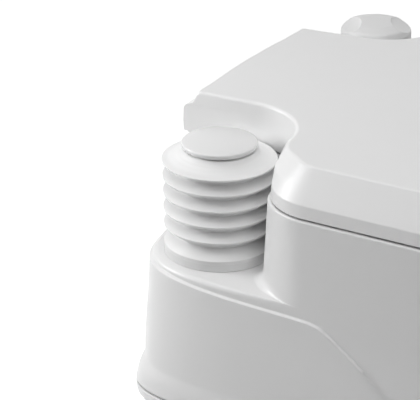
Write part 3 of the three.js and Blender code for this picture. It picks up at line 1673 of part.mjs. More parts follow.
const seatBufferPlaces = [-1, 1].flatMap((side) => [
  [side * seat.bufferX, seat.bufferFrontY],
  [side * seat.bufferX, seat.bufferRearY],
]);

const seatGroup = gathered(
  piece("seat", seatRing(), "shell"),
  ...seatBufferPlaces.map(([x, y], i) => piece(`seat_buffer_${i + 1}`, seatBuffer(x, y), "rubber")),
  piece("lid", lidShell(), "shell"),
  piece("lid_buffer_left", lidBuffer(-lid.bufferX, lid.bufferY), "rubber"),
  piece("lid_buffer_right", lidBuffer(lid.bufferX, lid.bufferY), "rubber"),
);

const freshSection = gathered(
  piece("fresh_tank", freshTank(), "shell"),
  piece("bowl", bowlShell(), "glossy"),
  piece("flush_nozzle", flushNozzle(), "shell"),
  piece("flush_hose", flushHose(), "clear"),
  piece("drain_collar", drainCollar(), "rubber"),
  piece("hinge_pin_left", hingePin(-1), "grey"),
  piece("hinge_pin_right", hingePin(1), "grey"),
  piece("fresh_level_window", freshLevelWindow(), "clear"),
  pumpGroup(),
  fillGroup(),
  seatGroup,
);

const wasteSection = gathered(
  piece("waste_tank", wasteTank(), "shell"),
  piece("valve_body", valveBody(), "grey"),
  piece("valve_lip_seal", valveLipSeal(), "rubber"),
  piece("valve_blade", valveBlade(), "grey"),
  piece("valve_handle", valveHandle(), "grey"),
  ...screwPlaces.map(([x, y], i) => piece(`valve_screw_${i + 1}`, valveScrew(x, y), "steel")),
  piece("pour_spout", pourSpout(), "shell"),
  piece("spout_seal", spoutSeal(), "rubber"),
  piece("spout_cap", spoutCap(), "grey"),
  piece("spout_cap_seal", spoutCapSeal(), "rubber"),
  piece("vent_button", ventButton(), "grey"),
  piece("vent_spring", ventSpring(), "steel"),
  piece("vent_seal", ventSeal(), "rubber"),
  piece("latch_left", latchLever(-1), "grey"),
  piece("latch_right", latchLever(1), "grey"),
  piece("latch_pin_left", latchPin(-1), "steel"),
  piece("latch_pin_right", latchPin(1), "steel"),
  piece("carry_handle", carryHandle(), "grey"),
  piece("waste_level_window", wasteLevelWindow(), "clear"),
);

export default gathered(freshSection, wasteSection);
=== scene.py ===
"""A portable toilet in white moulded plastic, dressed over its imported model.

Sizes are in millimetres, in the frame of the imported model, and become metres where a mesh is made.
The front faces -Y and +Z is up.
"""

import json
import math
from collections import namedtuple

import bpy
import numpy as np
from mathutils import Matrix, Vector

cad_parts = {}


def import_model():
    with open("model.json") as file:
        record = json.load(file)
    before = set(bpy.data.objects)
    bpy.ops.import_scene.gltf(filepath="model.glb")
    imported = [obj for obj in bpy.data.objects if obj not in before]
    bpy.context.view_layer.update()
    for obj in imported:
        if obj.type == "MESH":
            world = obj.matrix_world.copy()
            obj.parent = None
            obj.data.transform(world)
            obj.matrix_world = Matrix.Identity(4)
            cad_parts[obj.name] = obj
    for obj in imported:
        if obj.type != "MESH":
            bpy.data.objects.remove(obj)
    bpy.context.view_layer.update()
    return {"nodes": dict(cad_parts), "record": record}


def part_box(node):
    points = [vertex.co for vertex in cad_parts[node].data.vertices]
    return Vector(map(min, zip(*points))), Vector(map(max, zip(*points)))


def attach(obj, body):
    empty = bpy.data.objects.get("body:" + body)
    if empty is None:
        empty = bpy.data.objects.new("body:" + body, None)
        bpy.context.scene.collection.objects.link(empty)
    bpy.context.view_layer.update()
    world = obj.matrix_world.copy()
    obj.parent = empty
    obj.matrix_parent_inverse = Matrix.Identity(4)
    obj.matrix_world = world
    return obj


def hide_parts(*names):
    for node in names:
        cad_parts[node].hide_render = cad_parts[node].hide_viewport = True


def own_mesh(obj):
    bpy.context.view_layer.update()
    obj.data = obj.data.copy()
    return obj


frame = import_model()

MM = 0.001
TINY = 1e-9
FIT = 0.3  # gap between pieces that touch
OVERRUN = 4  # how far a cutter reaches past the face it cuts
WALL = 3
SEAL = 1.7  # thickness of a ring seal

Box = namedtuple("Box", "low high middle half")


def box(node):
    """Lowest and highest corner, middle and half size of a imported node, in millimetres."""
    low, high = (np.array(corner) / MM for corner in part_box(node))
    return Box(low, high, (low + high) / 2, (high - low) / 2)


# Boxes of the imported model

TANK = box("fresh_tank")
LID = box("lid")
BOWL = box("bowl")
BELLOWS = box("pump_bellows")
BUTTON = box("pump_button")
CAP = box("fill_cap")
NECK = box("fill_neck")
SPOUT = box("pour_spout")
SPOUT_CAP = box("spout_cap")
VALVE = box("valve_body")
HANDLE = box("valve_handle")
GRIP = box("carry_handle")
VENT = box("vent_button")
SPRING = box("vent_spring")
LATCH = box("latch_right")
WINDOW = box("fresh_level_window")
ROUND_WINDOW = box("waste_level_window")

# Sizes that several pieces share

HALF_WIDTH = LID.high[0]
HALF_DEPTH = -LID.low[1]
CORNER_POWER = 6.3
LID_Z = LID.high[2]
BOWL_FLANGE = 2.5
DECK_Z = BOWL.high[2] - BOWL_FLANGE - FIT
COLLAR_TOP = box("pump_base").high[2]
COLLAR_HEIGHT = 5.5
LEDGE_Z = COLLAR_TOP - COLLAR_HEIGHT - FIT
SKIRT_Z = TANK.low[2]
FLOOR_RISE = 7
FLOOR_Z = SKIRT_Z + FLOOR_RISE
WASTE_DECK_Z = box("waste_tank").high[2]
SHOULDER_GAP = 1.5
SHOULDER_Z = SKIRT_Z - SHOULDER_GAP
RIM_DROP = 10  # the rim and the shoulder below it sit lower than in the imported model
RIM_Z = SKIRT_Z - RIM_DROP

PUMP_X, PUMP_Y = BUTTON.middle[:2]
FILL_X, FILL_Y = CAP.middle[:2]
BELLOWS_RADIUS = BELLOWS.half[1]
BUTTON_RADIUS = BUTTON.half[0]
CAP_RADIUS = CAP.half[0]

SKIRT = {"x": TANK.high[0], "y": TANK.high[1], "power": 8.2, "height": 24, "neck_power": 6.9}
OUTSIDE_X = SKIRT["x"] + OVERRUN
OUTSIDE_Y = SKIRT["y"] + OVERRUN
PANEL_PROUD = 2
SIDE_DRAFT = {"top": LEDGE_Z - 12, "bottom": RIM_Z + 30, "proud": 1.7}
EDGE_RADIUS = 1.8  # top edge of the tank
LEDGE_RADIUS = 4

BAY_SCOOP_END = math.radians(98)
BAY_CORNER_END = math.radians(82)
BAY_FADE_SHARE = 0.6  # of the convex corner, where the side's inset starts to fade
BAY_BOW = 0.3  # the straight run bows out a little
BAY_SWELL_START = 0.25  # of the convex corner
BAY_SWELL_END = 0.35  # of the scoop
BELLOWS_GAP = 1.5
PUMP_BAY = {
    "wall": -PUMP_X - BELLOWS_RADIUS - BELLOWS_GAP,
    "rear": -PUMP_X - BELLOWS_RADIUS + 1.3,
    "scoop": 50,
    "scoop_y": PUMP_Y - 7,
    "corner": 44,
    "corner_y": PUMP_Y - 99.7,
    "fillet": 8,
}
CAP_BAY = {
    "wall": CAP.low[0] - 10.5,
    "rear": CAP.low[0] - 15.5,
    "scoop": 44,
    "scoop_y": FILL_Y - 7,
    "corner": 34,
    "corner_y": FILL_Y - 94,
    "fillet": 0,
}
REAR_CORNER = 1.2  # rounding of the upright edge where a bay's wall meets the rear

HINGE = {"radius": 10, "seat_radius": 9, "edge": 0.6, "rise": 10.5, "recess": 4, "recess_front": 14}
HINGE_Y = HALF_DEPTH - HINGE["radius"]
HINGE_Z = DECK_Z + HINGE["rise"]
KNUCKLE_SHARES = {"seat": (0.24, 0.5), "tank": (0.525, 0.69), "lid": (0.715, 1)}
KNUCKLES = {name: [share * PUMP_BAY["wall"] for share in ends] for name, ends in KNUCKLE_SHARES.items()}

# Number of columns in each run of the outline
QUARTER_STEPS = 56
SIDE_STEPS = 8
CORNER_STEPS = 26
STRAIGHT_STEPS = 10
SCOOP_STEPS = 36
WALL_STEPS = 8
REAR_CORNER_STEPS = 4
REAR_STEPS = 12
BAY_STEPS = CORNER_STEPS + STRAIGHT_STEPS + SCOOP_STEPS + WALL_STEPS + REAR_CORNER_STEPS


# Curves


def lerp(a, b, t):
    return a + (b - a) * t


def smoothstep(t):
    t = np.clip(t, 0, 1)
    return t * t * (3 - 2 * t)


def around(middle, half):
    return middle - half, middle + half


def smooth_through(x, xs, ys):
    """A smooth curve through the given points that never overshoots them."""
    x = np.asarray(x, float)
    xs, ys = np.asarray(xs, float), np.asarray(ys, float)
    step = np.diff(xs)
    slope = np.diff(ys) / step
    tangent = np.zeros(len(xs))
    same = slope[:-1] * slope[1:] > 0
    tangent[1:-1][same] = 2 * slope[:-1][same] * slope[1:][same] / (slope[:-1] + slope[1:])[same]
    i = np.clip(np.searchsorted(xs, x) - 1, 0, len(step) - 1)
    t = np.clip((x - xs[i]) / step[i], 0, 1)
    start, end = 2 * t**3 - 3 * t**2 + 1, 3 * t**2 - 2 * t**3
    leave, arrive = t**3 - 2 * t**2 + t, t**3 - t**2
    made = start * ys[i] + leave * step[i] * tangent[i]
    return made + end * ys[i + 1] + arrive * step[i] * tangent[i + 1]


def rounded(points, radii, steps=6):
    """A polyline with its inner corners rounded to the given radii, 0 for a sharp one."""
    straight = 1e-3  # in radians; a corner nearer than this to straight or folded stays as it is
    made = [np.array(points[0], float)]
    for before, corner, after, radius in zip(points, points[1:], points[2:], radii):
        before, corner, after = (np.array(p, float) for p in (before, corner, after))
        back, ahead = before - corner, after - corner
        back, ahead = back / np.linalg.norm(back), ahead / np.linalg.norm(ahead)
        half = math.acos(np.clip(back @ ahead, -1, 1)) / 2
        if radius <= 0 or half < straight or half > math.pi / 2 - straight:
            made.append(corner)
            continue
        reach = radius / math.tan(half)
        bisector = (back + ahead) / np.linalg.norm(back + ahead)
        centre = corner + bisector * radius / math.sin(half)
        first, last = corner + back * reach - centre, corner + ahead * reach - centre
        turn = math.atan2(first[0] * last[1] - first[1] * last[0], first @ last)
        for k in range(steps + 1):
            c, s = math.cos(turn * k / steps), math.sin(turn * k / steps)
            made.append(centre + np.array([c * first[0] - s * first[1], s * first[0] + c * first[1]]))
    made.append(np.array(points[-1], float))
    return made


def on_arc(centre, radius, turn):
    return np.array([centre[0] + radius * math.cos(turn), centre[1] + radius * math.sin(turn)])


def arc(centre, radius, start, end, steps):
    """Points on an arc, both ends included; angles in degrees."""
    return [tuple(on_arc(centre, radius, turn)) for turn in np.radians(np.linspace(start, end, steps + 1))]


def eased_corner(rows):
    """How far a rounded edge has drawn in, and how far short of its end it is, in each of its rows."""
    turns = np.linspace(0, 1, rows) * math.pi / 2
    return [(1 - math.cos(turn), 1 - math.sin(turn)) for turn in turns]


# Body outline

BEND_WEIGHT = 0.6  # share of the columns that goes where the outline bends
OUTLINE_SAMPLES = 3000


def super_radius(turns, half_x, half_y, power):
    """Distance from the centre to a superellipse, at each polar angle."""
    c, s = np.abs(np.cos(turns)) / half_x, np.abs(np.sin(turns)) / half_y
    return (c**power + s**power) ** (-1 / power)


def super_x(half_x, half_y, power, y):
    return half_x * (1 - (abs(y) / half_y) ** power) ** (1 / power)


def spaced_turns(start, end, steps):
    """Polar angles along the body's outline, closer together where it bends."""
    turns = np.linspace(start, end, OUTLINE_SAMPLES)
    radius = super_radius(turns, HALF_WIDTH, HALF_DEPTH, CORNER_POWER)
    points = np.stack([radius * np.cos(turns), radius * np.sin(turns)], 1)
    runs = np.diff(points, axis=0)
    length = np.linalg.norm(runs, axis=1)
    heading = np.unwrap(np.arctan2(runs[:, 1], runs[:, 0]))
    bending = np.abs(np.gradient(heading))
    even, bent = length / length.sum(), bending / max(bending.sum(), TINY)
    along = np.concatenate([[0], np.cumsum((1 - BEND_WEIGHT) * even + BEND_WEIGHT * bent)])
    return np.interp(np.linspace(0, along[-1], steps + 1), along, turns)


def quarter_turns(bay):
    """Polar angles of a rear quarter, from the side to the rear, as many as its bay needs."""
    if bay is None:
        return spaced_turns(0, math.pi / 2, QUARTER_STEPS)
    side = super_x(HALF_WIDTH, HALF_DEPTH, CORNER_POWER, bay["corner_y"])
    rear = super_x(HALF_DEPTH, HALF_WIDTH, CORNER_POWER, bay["rear"])
    start, end = math.atan2(bay["corner_y"], side), math.atan2(rear, bay["rear"])
    before = np.linspace(0, start, SIDE_STEPS + 1)[:-1]
    after = np.linspace(end, math.pi / 2, REAR_STEPS + 1)[1:]
    return np.concatenate([before, spaced_turns(start, end, BAY_STEPS), after])


def bay_points(half_x, half_y, power, bay, inset, wall_inset, spread, swell):
    """The run of a rear right quarter that goes round its bay, from the side to the rear.

    inset draws the side in and wall_inset the bay's wall, and the one fades into the other from the convex
    corner to the scoop. spread moves the wall forward, as its fillet does, and swell only where the convex
    corner runs into the scoop.
    """
    corner = (super_x(half_x, half_y, power, bay["corner_y"]) - bay["corner"] + inset, bay["corner_y"])
    scoop = (bay["wall"] + bay["scoop"], bay["scoop_y"])
    start = on_arc(corner, bay["corner"], BAY_CORNER_END)
    end = on_arc(scoop, bay["scoop"], -BAY_SCOOP_END)
    outward = on_arc((0, 0), 1, BAY_CORNER_END)
    corner_run = BAY_CORNER_END * bay["corner"]
    fade_start, whole_run = corner_run * BAY_FADE_SHARE, corner_run + np.linalg.norm(end - start)

    def inset_along(run):
        return lerp(inset, wall_inset, smoothstep((run - fade_start) / (whole_run - fade_start)))

    points = []
    for k in range(CORNER_STEPS + 1):
        share = k / CORNER_STEPS
        swollen = swell * smoothstep((share - BAY_SWELL_START) / (1 - BAY_SWELL_START))
        radius = bay["corner"] - inset_along(corner_run * share) + spread * smoothstep(share) + swollen
        points.append(on_arc(corner, radius, BAY_CORNER_END * share))
    for k in range(1, STRAIGHT_STEPS):
        share = k / STRAIGHT_STEPS
        out = spread + swell + BAY_BOW * math.sin(math.pi * share)
        out -= inset_along(lerp(corner_run, whole_run, share))
        points.append(lerp(start, end, share) + outward * out)
    for k in range(SCOOP_STEPS + 1):
        turn = -BAY_SCOOP_END - (math.pi - BAY_SCOOP_END) * k / SCOOP_STEPS
        swollen = swell * (1 - smoothstep(k / SCOOP_STEPS / BAY_SWELL_END))
        points.append(on_arc(scoop, bay["scoop"] + wall_inset - spread - swollen, turn))
    rear_x = bay["rear"] - wall_inset + spread
    rear_y = super_x(half_y, half_x, power, rear_x)
    foot = points[-1]
    edge = rounded([foot, (rear_x, rear_y), (0, rear_y)], [REAR_CORNER], REAR_CORNER_STEPS - 1)[1:-1]
    points += [lerp(foot, edge[0], k / (WALL_STEPS + 1)) for k in range(1, WALL_STEPS + 1)]
    return np.array(points + edge)


known_turns = {}


def ring_turns(left, right):
    """Polar angles of a whole ring, and where the bay runs of its two rear quarters start and stop."""
    key = (id(left), id(right))
    if key not in known_turns:
        rear_right, rear_left = quarter_turns(right), math.pi - quarter_turns(left)[::-1]
        front = quarter_turns(None)
        front_left, front_right = math.pi + front[1:], 1.5 * math.pi + (math.pi / 2 - front[::-1])[1:-1]
        turns = np.concatenate([rear_right, rear_left[1:], front_left, front_right])
        start = len(rear_right) - 1 + REAR_STEPS
        marks = [(right, SIDE_STEPS, SIDE_STEPS + BAY_STEPS + 1), (left, start, start + BAY_STEPS + 1)]
        known_turns[key] = (turns, marks)
    return known_turns[key]


BOW_X = [-86, -60, -45, -31, -17, -2, 12, 26, 41, 55, 69, 86]
BOW_OUT = [1.2, 1.2, 1.9, 2.6, 2.8, 2.7, 2.3, 1.8, 0.8, -0.3, -0.9, -1.0]
LEDGE_EASE = 6  # the ledge's rounding sets in over a sixth of its run, at either end


def bowed(x):
    """How far the rear edge of the lid's top bows out, at each X."""
    return np.interp(x, BOW_X, BOW_OUT)


def body_ring(
    z, half_x=HALF_WIDTH, half_y=HALF_DEPTH, power=CORNER_POWER, left=None, right=None, is_open=True,
    inset=0, rear_inset=None, wall_inset=None, corner_inset=0, spread=0, swell=0, rear_bow=0,
):
    """One level of the body, as an array of points. left and right are the bays of the rear corners.

    is_open says whether a bay is cut at this level or only keeps its number of points. z, half_x, half_y
    and power may be arrays, one value for each column, as long as no bay is open.
    """
    rear_inset = inset if rear_inset is None else rear_inset
    wall_inset = inset if wall_inset is None else wall_inset
    turns, marks = ring_turns(left, right)
    a = np.broadcast_to(half_x, turns.shape) - inset
    b = np.broadcast_to(half_y, turns.shape) - np.where(np.sin(turns) > TINY, rear_inset, inset)
    if corner_inset:
        for bay, start, stop in marks:
            if bay:
                share = np.linspace(0, 1, stop - start)
                drawn = corner_inset * np.minimum(1, LEDGE_EASE * np.minimum(share, 1 - share))
                a[start:stop] -= drawn
                b[start:stop] -= drawn
    radius = super_radius(turns, a, b, power)
    points = np.stack([radius * np.cos(turns), radius * np.sin(turns), np.broadcast_to(z, turns.shape)], 1)
    if not is_open:
        return points
    half_x, half_y = half_x - inset, half_y - rear_inset
    for side, (bay, start, stop) in zip((1, -1), marks):
        if bay is None:
            continue
        bulge = swell if bay is PUMP_BAY else 0
        run = bay_points(half_x, half_y, power, bay, inset, wall_inset, spread, bulge)
        rear_x = run[-1, 0]
        if side < 0:
            run = run[::-1]
        points[start:stop, 0] = side * run[:, 0]
        points[start:stop, 1] = run[:, 1]
        for k in range(1, REAR_STEPS + 1):
            i = stop - 1 + k if side > 0 else start - k
            x = rear_x * (1 - k / REAR_STEPS)
            points[i, :2] = side * x, super_x(half_y, half_x, power, x) + rear_bow * bowed(side * x)
        corner = slice(stop - 2, stop) if side > 0 else slice(start, start + 2)
        points[corner, 1] += rear_bow * bowed(side * rear_x)
    return points


def oval(half_x, half_y, y, z, steps=96):
    turns = np.linspace(0, 2 * math.pi, steps, endpoint=False)
    return np.stack([half_x * np.cos(turns), y + half_y * np.sin(turns), np.full(steps, float(z))], 1)


# Meshes


def linked(name, data):
    """A new object in the scene."""
    obj = bpy.data.objects.new(name, data)
    bpy.context.scene.collection.objects.link(obj)
    return obj


def object_of(points, faces, name="form"):
    mesh = bpy.data.meshes.new(name)
    mesh.from_pydata((np.asarray(points, float) * MM).tolist(), [], faces)
    return linked(name, mesh)


def loft(rings):
    """A closed solid through rings of equally many points, lowest first, each running anticlockwise."""
    count = len(rings[0])
    faces = []
    for level in range(len(rings) - 1):
        low, high = level * count, (level + 1) * count
        for i in range(count):
            j = (i + 1) % count
            faces.append((low + i, low + j, high + j, high + i))
    faces.append(tuple(range(count))[::-1])
    faces.append(tuple(range((len(rings) - 1) * count, len(rings) * count)))
    return object_of(np.concatenate(rings), faces)


def lathe(profile, centre=(0, 0, 0), sides=96, axis="Z"):
    """A closed turned solid. The profile is (radius, height) from bottom to top, anticlockwise when closed.

    It starts and ends on the axis, or closes on itself.
    """
    closed = math.dist(profile[0], profile[-1]) < TINY
    if closed:
        profile = profile[:-1]
    turns = np.linspace(0, 2 * math.pi, sides, endpoint=False)
    points, rows = [], []
    for radius, height in profile:
        if radius < TINY:
            rows.append([len(points)] * sides)
            points.append((0, 0, height))
        else:
            rows.append(list(range(len(points), len(points) + sides)))
            points += [(radius * math.cos(t), radius * math.sin(t), height) for t in turns]
    faces = []
    pairs = list(zip(rows, rows[1:]))
    if closed:
        pairs.append((rows[-1], rows[0]))
    for low, high in pairs:
        for i in range(sides):
            j = (i + 1) % sides
            face = tuple(dict.fromkeys((low[i], low[j], high[j], high[i])))
            if len(face) > 2:
                faces.append(face)
    order = {"X": [2, 0, 1], "Y": [1, 2, 0], "Z": [0, 1, 2]}[axis]
    return object_of(np.array(points)[:, order] + np.array(centre, float), faces)


def bar(radius, low, high, centre=(0, 0), sides=64, axis="Z", edge=0.0):
    """A round bar from low to high along an axis, its ends broken by edge. centre is in the other axes."""
    profile = [(0, low), (radius, low), (radius, high), (0, high)]
    if edge:
        profile = rounded(profile, [edge, edge], 4)
    u, v = centre
    place = {"X": (0, u, v), "Y": (u, 0, v), "Z": (u, v, 0)}[axis]
    return lathe(profile, place, sides, axis)


def ball(radius, centre=(0, 0, 0), steps=36):
    return lathe(arc((0, 0), radius, -90, 90, steps), centre, 72)


def facing_out(obj):
    """Turns the faces of a closed mesh outwards."""
    mesh = obj.data
    mesh.calc_loop_triangles()
    corners = np.array([v.co for v in mesh.vertices], float)
    a, b, c = (corners[[t.vertices[k] for t in mesh.loop_triangles]] for k in range(3))
    if np.einsum("ij,ij->i", a, np.cross(b, c)).sum() < 0:
        mesh.flip_normals()
    return obj


def prism(outline, low, high, axis="Z"):
    """An outline, given in the other two axes in their order, pushed along an axis from low to high."""
    order = {"Z": (0, 1, 2), "Y": (0, 2, 1), "X": (2, 0, 1)}[axis]
    rings = [np.array([(*p, level) for p in outline], float)[:, order] for level in (low, high)]
    return facing_out(loft(rings))


def round_rectangle(u0, u1, v0, v1, radius, steps=5):
    if radius <= 0:
        return [(u1, v1), (u0, v1), (u0, v0), (u1, v0)]
    (u0, u1), (v0, v1) = (u0 + radius, u1 - radius), (v0 + radius, v1 - radius)
    corners = ((u1, v1, 0), (u0, v1, 90), (u0, v0, 180), (u1, v0, 270))
    return [p for u, v, start in corners for p in arc((u, v), radius, start, start + 90, steps)]


def block(x, y, z, radius=0.0, axis="Z", steps=5):
    """A box over three spans, its four edges along an axis rounded."""
    u, v, w = {"X": (y, z, x), "Y": (x, z, y), "Z": (x, y, z)}[axis]
    return prism(round_rectangle(*sorted(u), *sorted(v), radius, steps), *sorted(w), axis)


def applied(obj):
    """Bakes an object's modifiers into its mesh."""
    graph = bpy.context.evaluated_depsgraph_get()
    mesh = bpy.data.meshes.new_from_object(obj.evaluated_get(graph))
    old = obj.data
    obj.modifiers.clear()
    obj.data = mesh
    bpy.data.meshes.remove(old)
    return obj


def combine(obj, others, operation):
    """Joins solids to obj or cuts them from it. The others are used up."""
    for other in others:
        modifier = obj.modifiers.new("boolean", "BOOLEAN")
        modifier.operation = operation
        modifier.object = other
        modifier.solver = "MANIFOLD"
    applied(obj)
    for other in others:
        bpy.data.objects.remove(other)
    return obj


def joined(obj, *others):
    return combine(obj, others, "UNION")


def cut(obj, *others):
    return combine(obj, others, "DIFFERENCE")


def bevelled(obj, width, angle=50, segments=3):
    """Rounds the edges of a piece that are sharper than an angle, in degrees."""
    modifier = obj.modifiers.new("bevel", "BEVEL")
    modifier.width = width * MM
    modifier.segments = segments
    modifier.limit_method = "ANGLE"
    modifier.angle_limit = math.radians(angle)
    modifier.miter_outer = "MITER_ARC"
    modifier.use_clamp_overlap = True
    return applied(obj)


def piece(obj, name, body, replaced, slot, material=None, crease=32):
    """Names a finished mesh, shades it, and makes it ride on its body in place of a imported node."""
    obj.name = obj.data.name = name
    obj.data.materials.clear()
    obj.data.materials.append(material or FINISH[slot])
    for polygon in obj.data.polygons:
        polygon.material_index = 0
        polygon.use_smooth = True
    obj.data.set_sharp_from_angle(angle=math.radians(crease))
    modifier = obj.modifiers.new("shading", "WEIGHTED_NORMAL")
    modifier.keep_sharp = True
    modifier.weight = 60
    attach(obj, body)
    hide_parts(replaced)
    return obj


# Materials

PATTERN_RANGE = (0.3, 0.7)  # where nearly all of a noise pattern lies
SHADE_SCALE = 7
GLOSS_SCALE = 60
WAVE_HEIGHT = 0.0006  # in metres
GRAIN_HEIGHT = 0.00006


def new_material(name):
    material = bpy.data.materials.new(name)
    material.use_nodes = True
    return material, material.node_tree, material.node_tree.nodes["Principled BSDF"]


def feed(tree, node, inputs):
    """Sets a node's inputs, and links those for which another node's output is given."""
    for name, value in inputs.items():
        if isinstance(value, bpy.types.NodeSocket):
            tree.links.new(value, node.inputs[name])
        else:
            node.inputs[name].default_value = value


def added(tree, kind, inputs, output=0, operation=None):
    """Adds a node and returns one of its outputs."""
    node = tree.nodes.new(kind)
    if operation:
        node.operation = operation
    feed(tree, node, inputs)
    return node.outputs[output]


def noise(tree, scale, detail, roughness=0.5, stretch=(1, 1, 1)):
    """A noise pattern fixed to the piece, in patterns per metre."""
    place = added(tree, "ShaderNodeTexCoord", {}, "Object")
    place = added(tree, "ShaderNodeMapping", {"Vector": place, "Scale": stretch}, "Vector")
    inputs = {"Vector": place, "Scale": scale, "Detail": detail, "Roughness": roughness}
    return added(tree, "ShaderNodeTexNoise", inputs, "Fac")


def mapped(tree, value, low, high):
    """Spreads a noise pattern over low to high."""
    start, end = PATTERN_RANGE
    inputs = {"Value": value, "From Min": start, "From Max": end, "To Min": low, "To Max": high}
    return added(tree, "ShaderNodeMapRange", inputs, "Result")


def bump(tree, height, strength, distance, below=None):
    """A bump over another one. distance is in metres."""
    inputs = {"Height": height, "Strength": strength, "Distance": distance}
    if below is not None:
        inputs["Normal"] = below
    return added(tree, "ShaderNodeBump", inputs, "Normal")


def moulded(
    name, colour, roughness, spread=0.05, grain=0.04, grain_scale=2600, wave=0.12, wave_scale=9, tint=0.008,
    coat=0.0, subsurface=0.0,
):
    """Moulded plastic: a fine spark-eroded grain, a slow waviness of the skin and a faint change of shade.

    spread is the change of roughness, tint the change of shade, and grain and wave are strengths.
    """
    material, tree, shader = new_material(name)
    shade = mapped(tree, noise(tree, SHADE_SCALE, 2), 1 - tint, 1 + tint)
    tone = {"Color": (*colour, 1), "Value": shade}
    slow = bump(tree, noise(tree, wave_scale, 1, 0.3), wave, WAVE_HEIGHT)
    look = {
        "Base Color": added(tree, "ShaderNodeHueSaturation", tone, "Color"),
        "Roughness": mapped(tree, noise(tree, GLOSS_SCALE, 4), roughness - spread, roughness + spread),
        "Normal": bump(tree, noise(tree, grain_scale, 2), grain, GRAIN_HEIGHT, slow),
        "Coat Weight": coat,
        "Coat Roughness": 0.12,
    }
    if subsurface:
        look["Subsurface Weight"] = subsurface
        look["Subsurface Radius"] = (1.0, 0.95, 0.9)
        look["Subsurface Scale"] = 0.003
    feed(tree, shader, look)
    return material


def plated_steel(name):
    """Zinc-plated steel with the drawn streaks of wire and screws."""
    material, tree, shader = new_material(name)
    drawn = (1, 0.1, 1)
    look = {
        "Metallic": 1.0,
        "Base Color": (0.56, 0.57, 0.58, 1),
        "Roughness": mapped(tree, noise(tree, 500, 4, stretch=drawn), 0.2, 0.38),
        "Normal": bump(tree, noise(tree, 2500, 2, stretch=drawn), 0.15, 0.00005),
    }
    feed(tree, shader, look)
    return material


def clear_plastic(name):
    material, tree, shader = new_material(name)
    look = {
        "Base Color": (0.8, 0.86, 0.88, 1),
        "Transmission Weight": 0.7,
        "IOR": 1.49,
        "Roughness": mapped(tree, noise(tree, 80, 3), 0.08, 0.2),
        "Normal": bump(tree, noise(tree, 40, 2), 0.1, 0.0004),
    }
    feed(tree, shader, look)
    return material


FINISH = {
    # The shell's white is set darker than the lid's, though both are the same white plastic: painted shade
    # that darkens the tank's sides.
    "shell": moulded("shell_white_painted_shade", (0.77, 0.77, 0.77), 0.36),
    "bellows": moulded("bellows_white", (0.82, 0.82, 0.82), 0.45, wave=0.05, subsurface=0.06),
    "gloss_white": moulded("gloss_white", (0.81, 0.81, 0.81), 0.2, spread=0.03, grain=0.01, coat=0.2),
    "grey_plastic": moulded("grey_plastic", (0.27, 0.28, 0.295), 0.42, grain=0.2, grain_scale=1500),
    "rubber": moulded("black_rubber", (0.03, 0.03, 0.032), 0.62, grain=0.4, grain_scale=900, tint=0.05),
    "steel": plated_steel("steel"),
    "clear": clear_plastic("clear_plastic"),
}
# The lid's white is the lighter copy of the same plastic as the shell; the shell's darker white is painted
# shade.
LID_SKIN = moulded("lid_white", (0.83, 0.83, 0.83), 0.33, wave=0.18, wave_scale=7)


def finish_packed_nodes():
    """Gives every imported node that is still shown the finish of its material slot."""
    for part in frame["record"]["subparts"]:
        node = frame["nodes"][part["node"]]
        node.data.materials.clear()
        node.data.materials.append(FINISH[part["material_slot"]])


# Fresh-water section

FLARE_UP = [0, 0.1, 0.3, 0.5, 0.66, 0.84, 1]
FLARE_OUT = [1, 0.92, 0.76, 0.53, 0.27, 0.03, 0]
STEP_KNEE = (PUMP_Y - 107, LEDGE_Z - 9.5)
STEP_FRONT = (STEP_KNEE[0] - 138, RIM_Z + 2)
STEP_BENDS = [(0.45, 0.45), (0.22, 0.18)]  # shares of the way from the knee to the front, in Y and Z
STEP_POINTS = [
    STEP_FRONT,
    *((lerp(STEP_KNEE[0], STEP_FRONT[0], y), lerp(STEP_KNEE[1], STEP_FRONT[1], z)) for y, z in STEP_BENDS),
    STEP_KNEE,
    (lerp(OUTSIDE_Y, STEP_KNEE[0], 0.6), LEDGE_Z - 7.5),
    (OUTSIDE_Y, LEDGE_Z - 4),
]
STEP_HALF = 1.0  # half the height over which the panel steps out
STEP_ROWS = [-1, -0.7, -0.45, -0.2, 0, 0.2, 0.45, 0.7, 1]
ROWS = {"flare": 18, "plain": 44, "ledge": 7, "fillet": 9, "bay": 6, "edge": 6}  # of the tank, upwards
RIM_EDGE = 1.0
SWELL = {"ledge": 5.5, "deck": 2.2}  # how far the corner ahead of the pump leans out
HOLLOW = {"clear": 0.5, "straight": 2, "taper": 11}  # of the skirt: gap, and levels above the rim


def step_height(y):
    """Level of the styling step at each Y. Ahead of its front end there is no raised panel."""
    return np.where(y < STEP_FRONT[0], RIM_Z - 20, smooth_through(y, *zip(*STEP_POINTS)))


def tank_row(z, level):
    """One level of the tank's side below the ledge, with its flare and raised panel."""
    drafted = (SIDE_DRAFT["top"] - z) / (SIDE_DRAFT["top"] - SIDE_DRAFT["bottom"])
    draft = SIDE_DRAFT["proud"] * smoothstep(drafted)
    proud = PANEL_PROUD * smoothstep((level - z) / (2 * STEP_HALF) + 0.5) + draft
    up = z - RIM_Z
    out = smooth_through(up / SKIRT["height"], FLARE_UP, FLARE_OUT)
    plain_height = LEDGE_Z - LEDGE_RADIUS - RIM_Z - SKIRT["height"]
    below = 1 - np.clip((up - SKIRT["height"]) / plain_height, 0, 1)
    plain_power = lerp(CORNER_POWER, SKIRT["neck_power"], below)
    flare_power = lerp(SKIRT["neck_power"], SKIRT["power"], out)
    return body_ring(
        z,
        half_x=lerp(HALF_WIDTH + proud, SKIRT["x"], out),
        half_y=lerp(HALF_DEPTH + proud, SKIRT["y"], out),
        power=np.where(up > SKIRT["height"], plain_power, flare_power),
        left=PUMP_BAY,
        is_open=False,
    )


def bay_level(z, **ring):
    """One level of the tank above the ledge, whose corner leans out towards its foot."""
    share = (z - LEDGE_Z) / (DECK_Z - LEDGE_Z)
    return body_ring(z, left=PUMP_BAY, swell=lerp(SWELL["ledge"], SWELL["deck"], share), **ring)


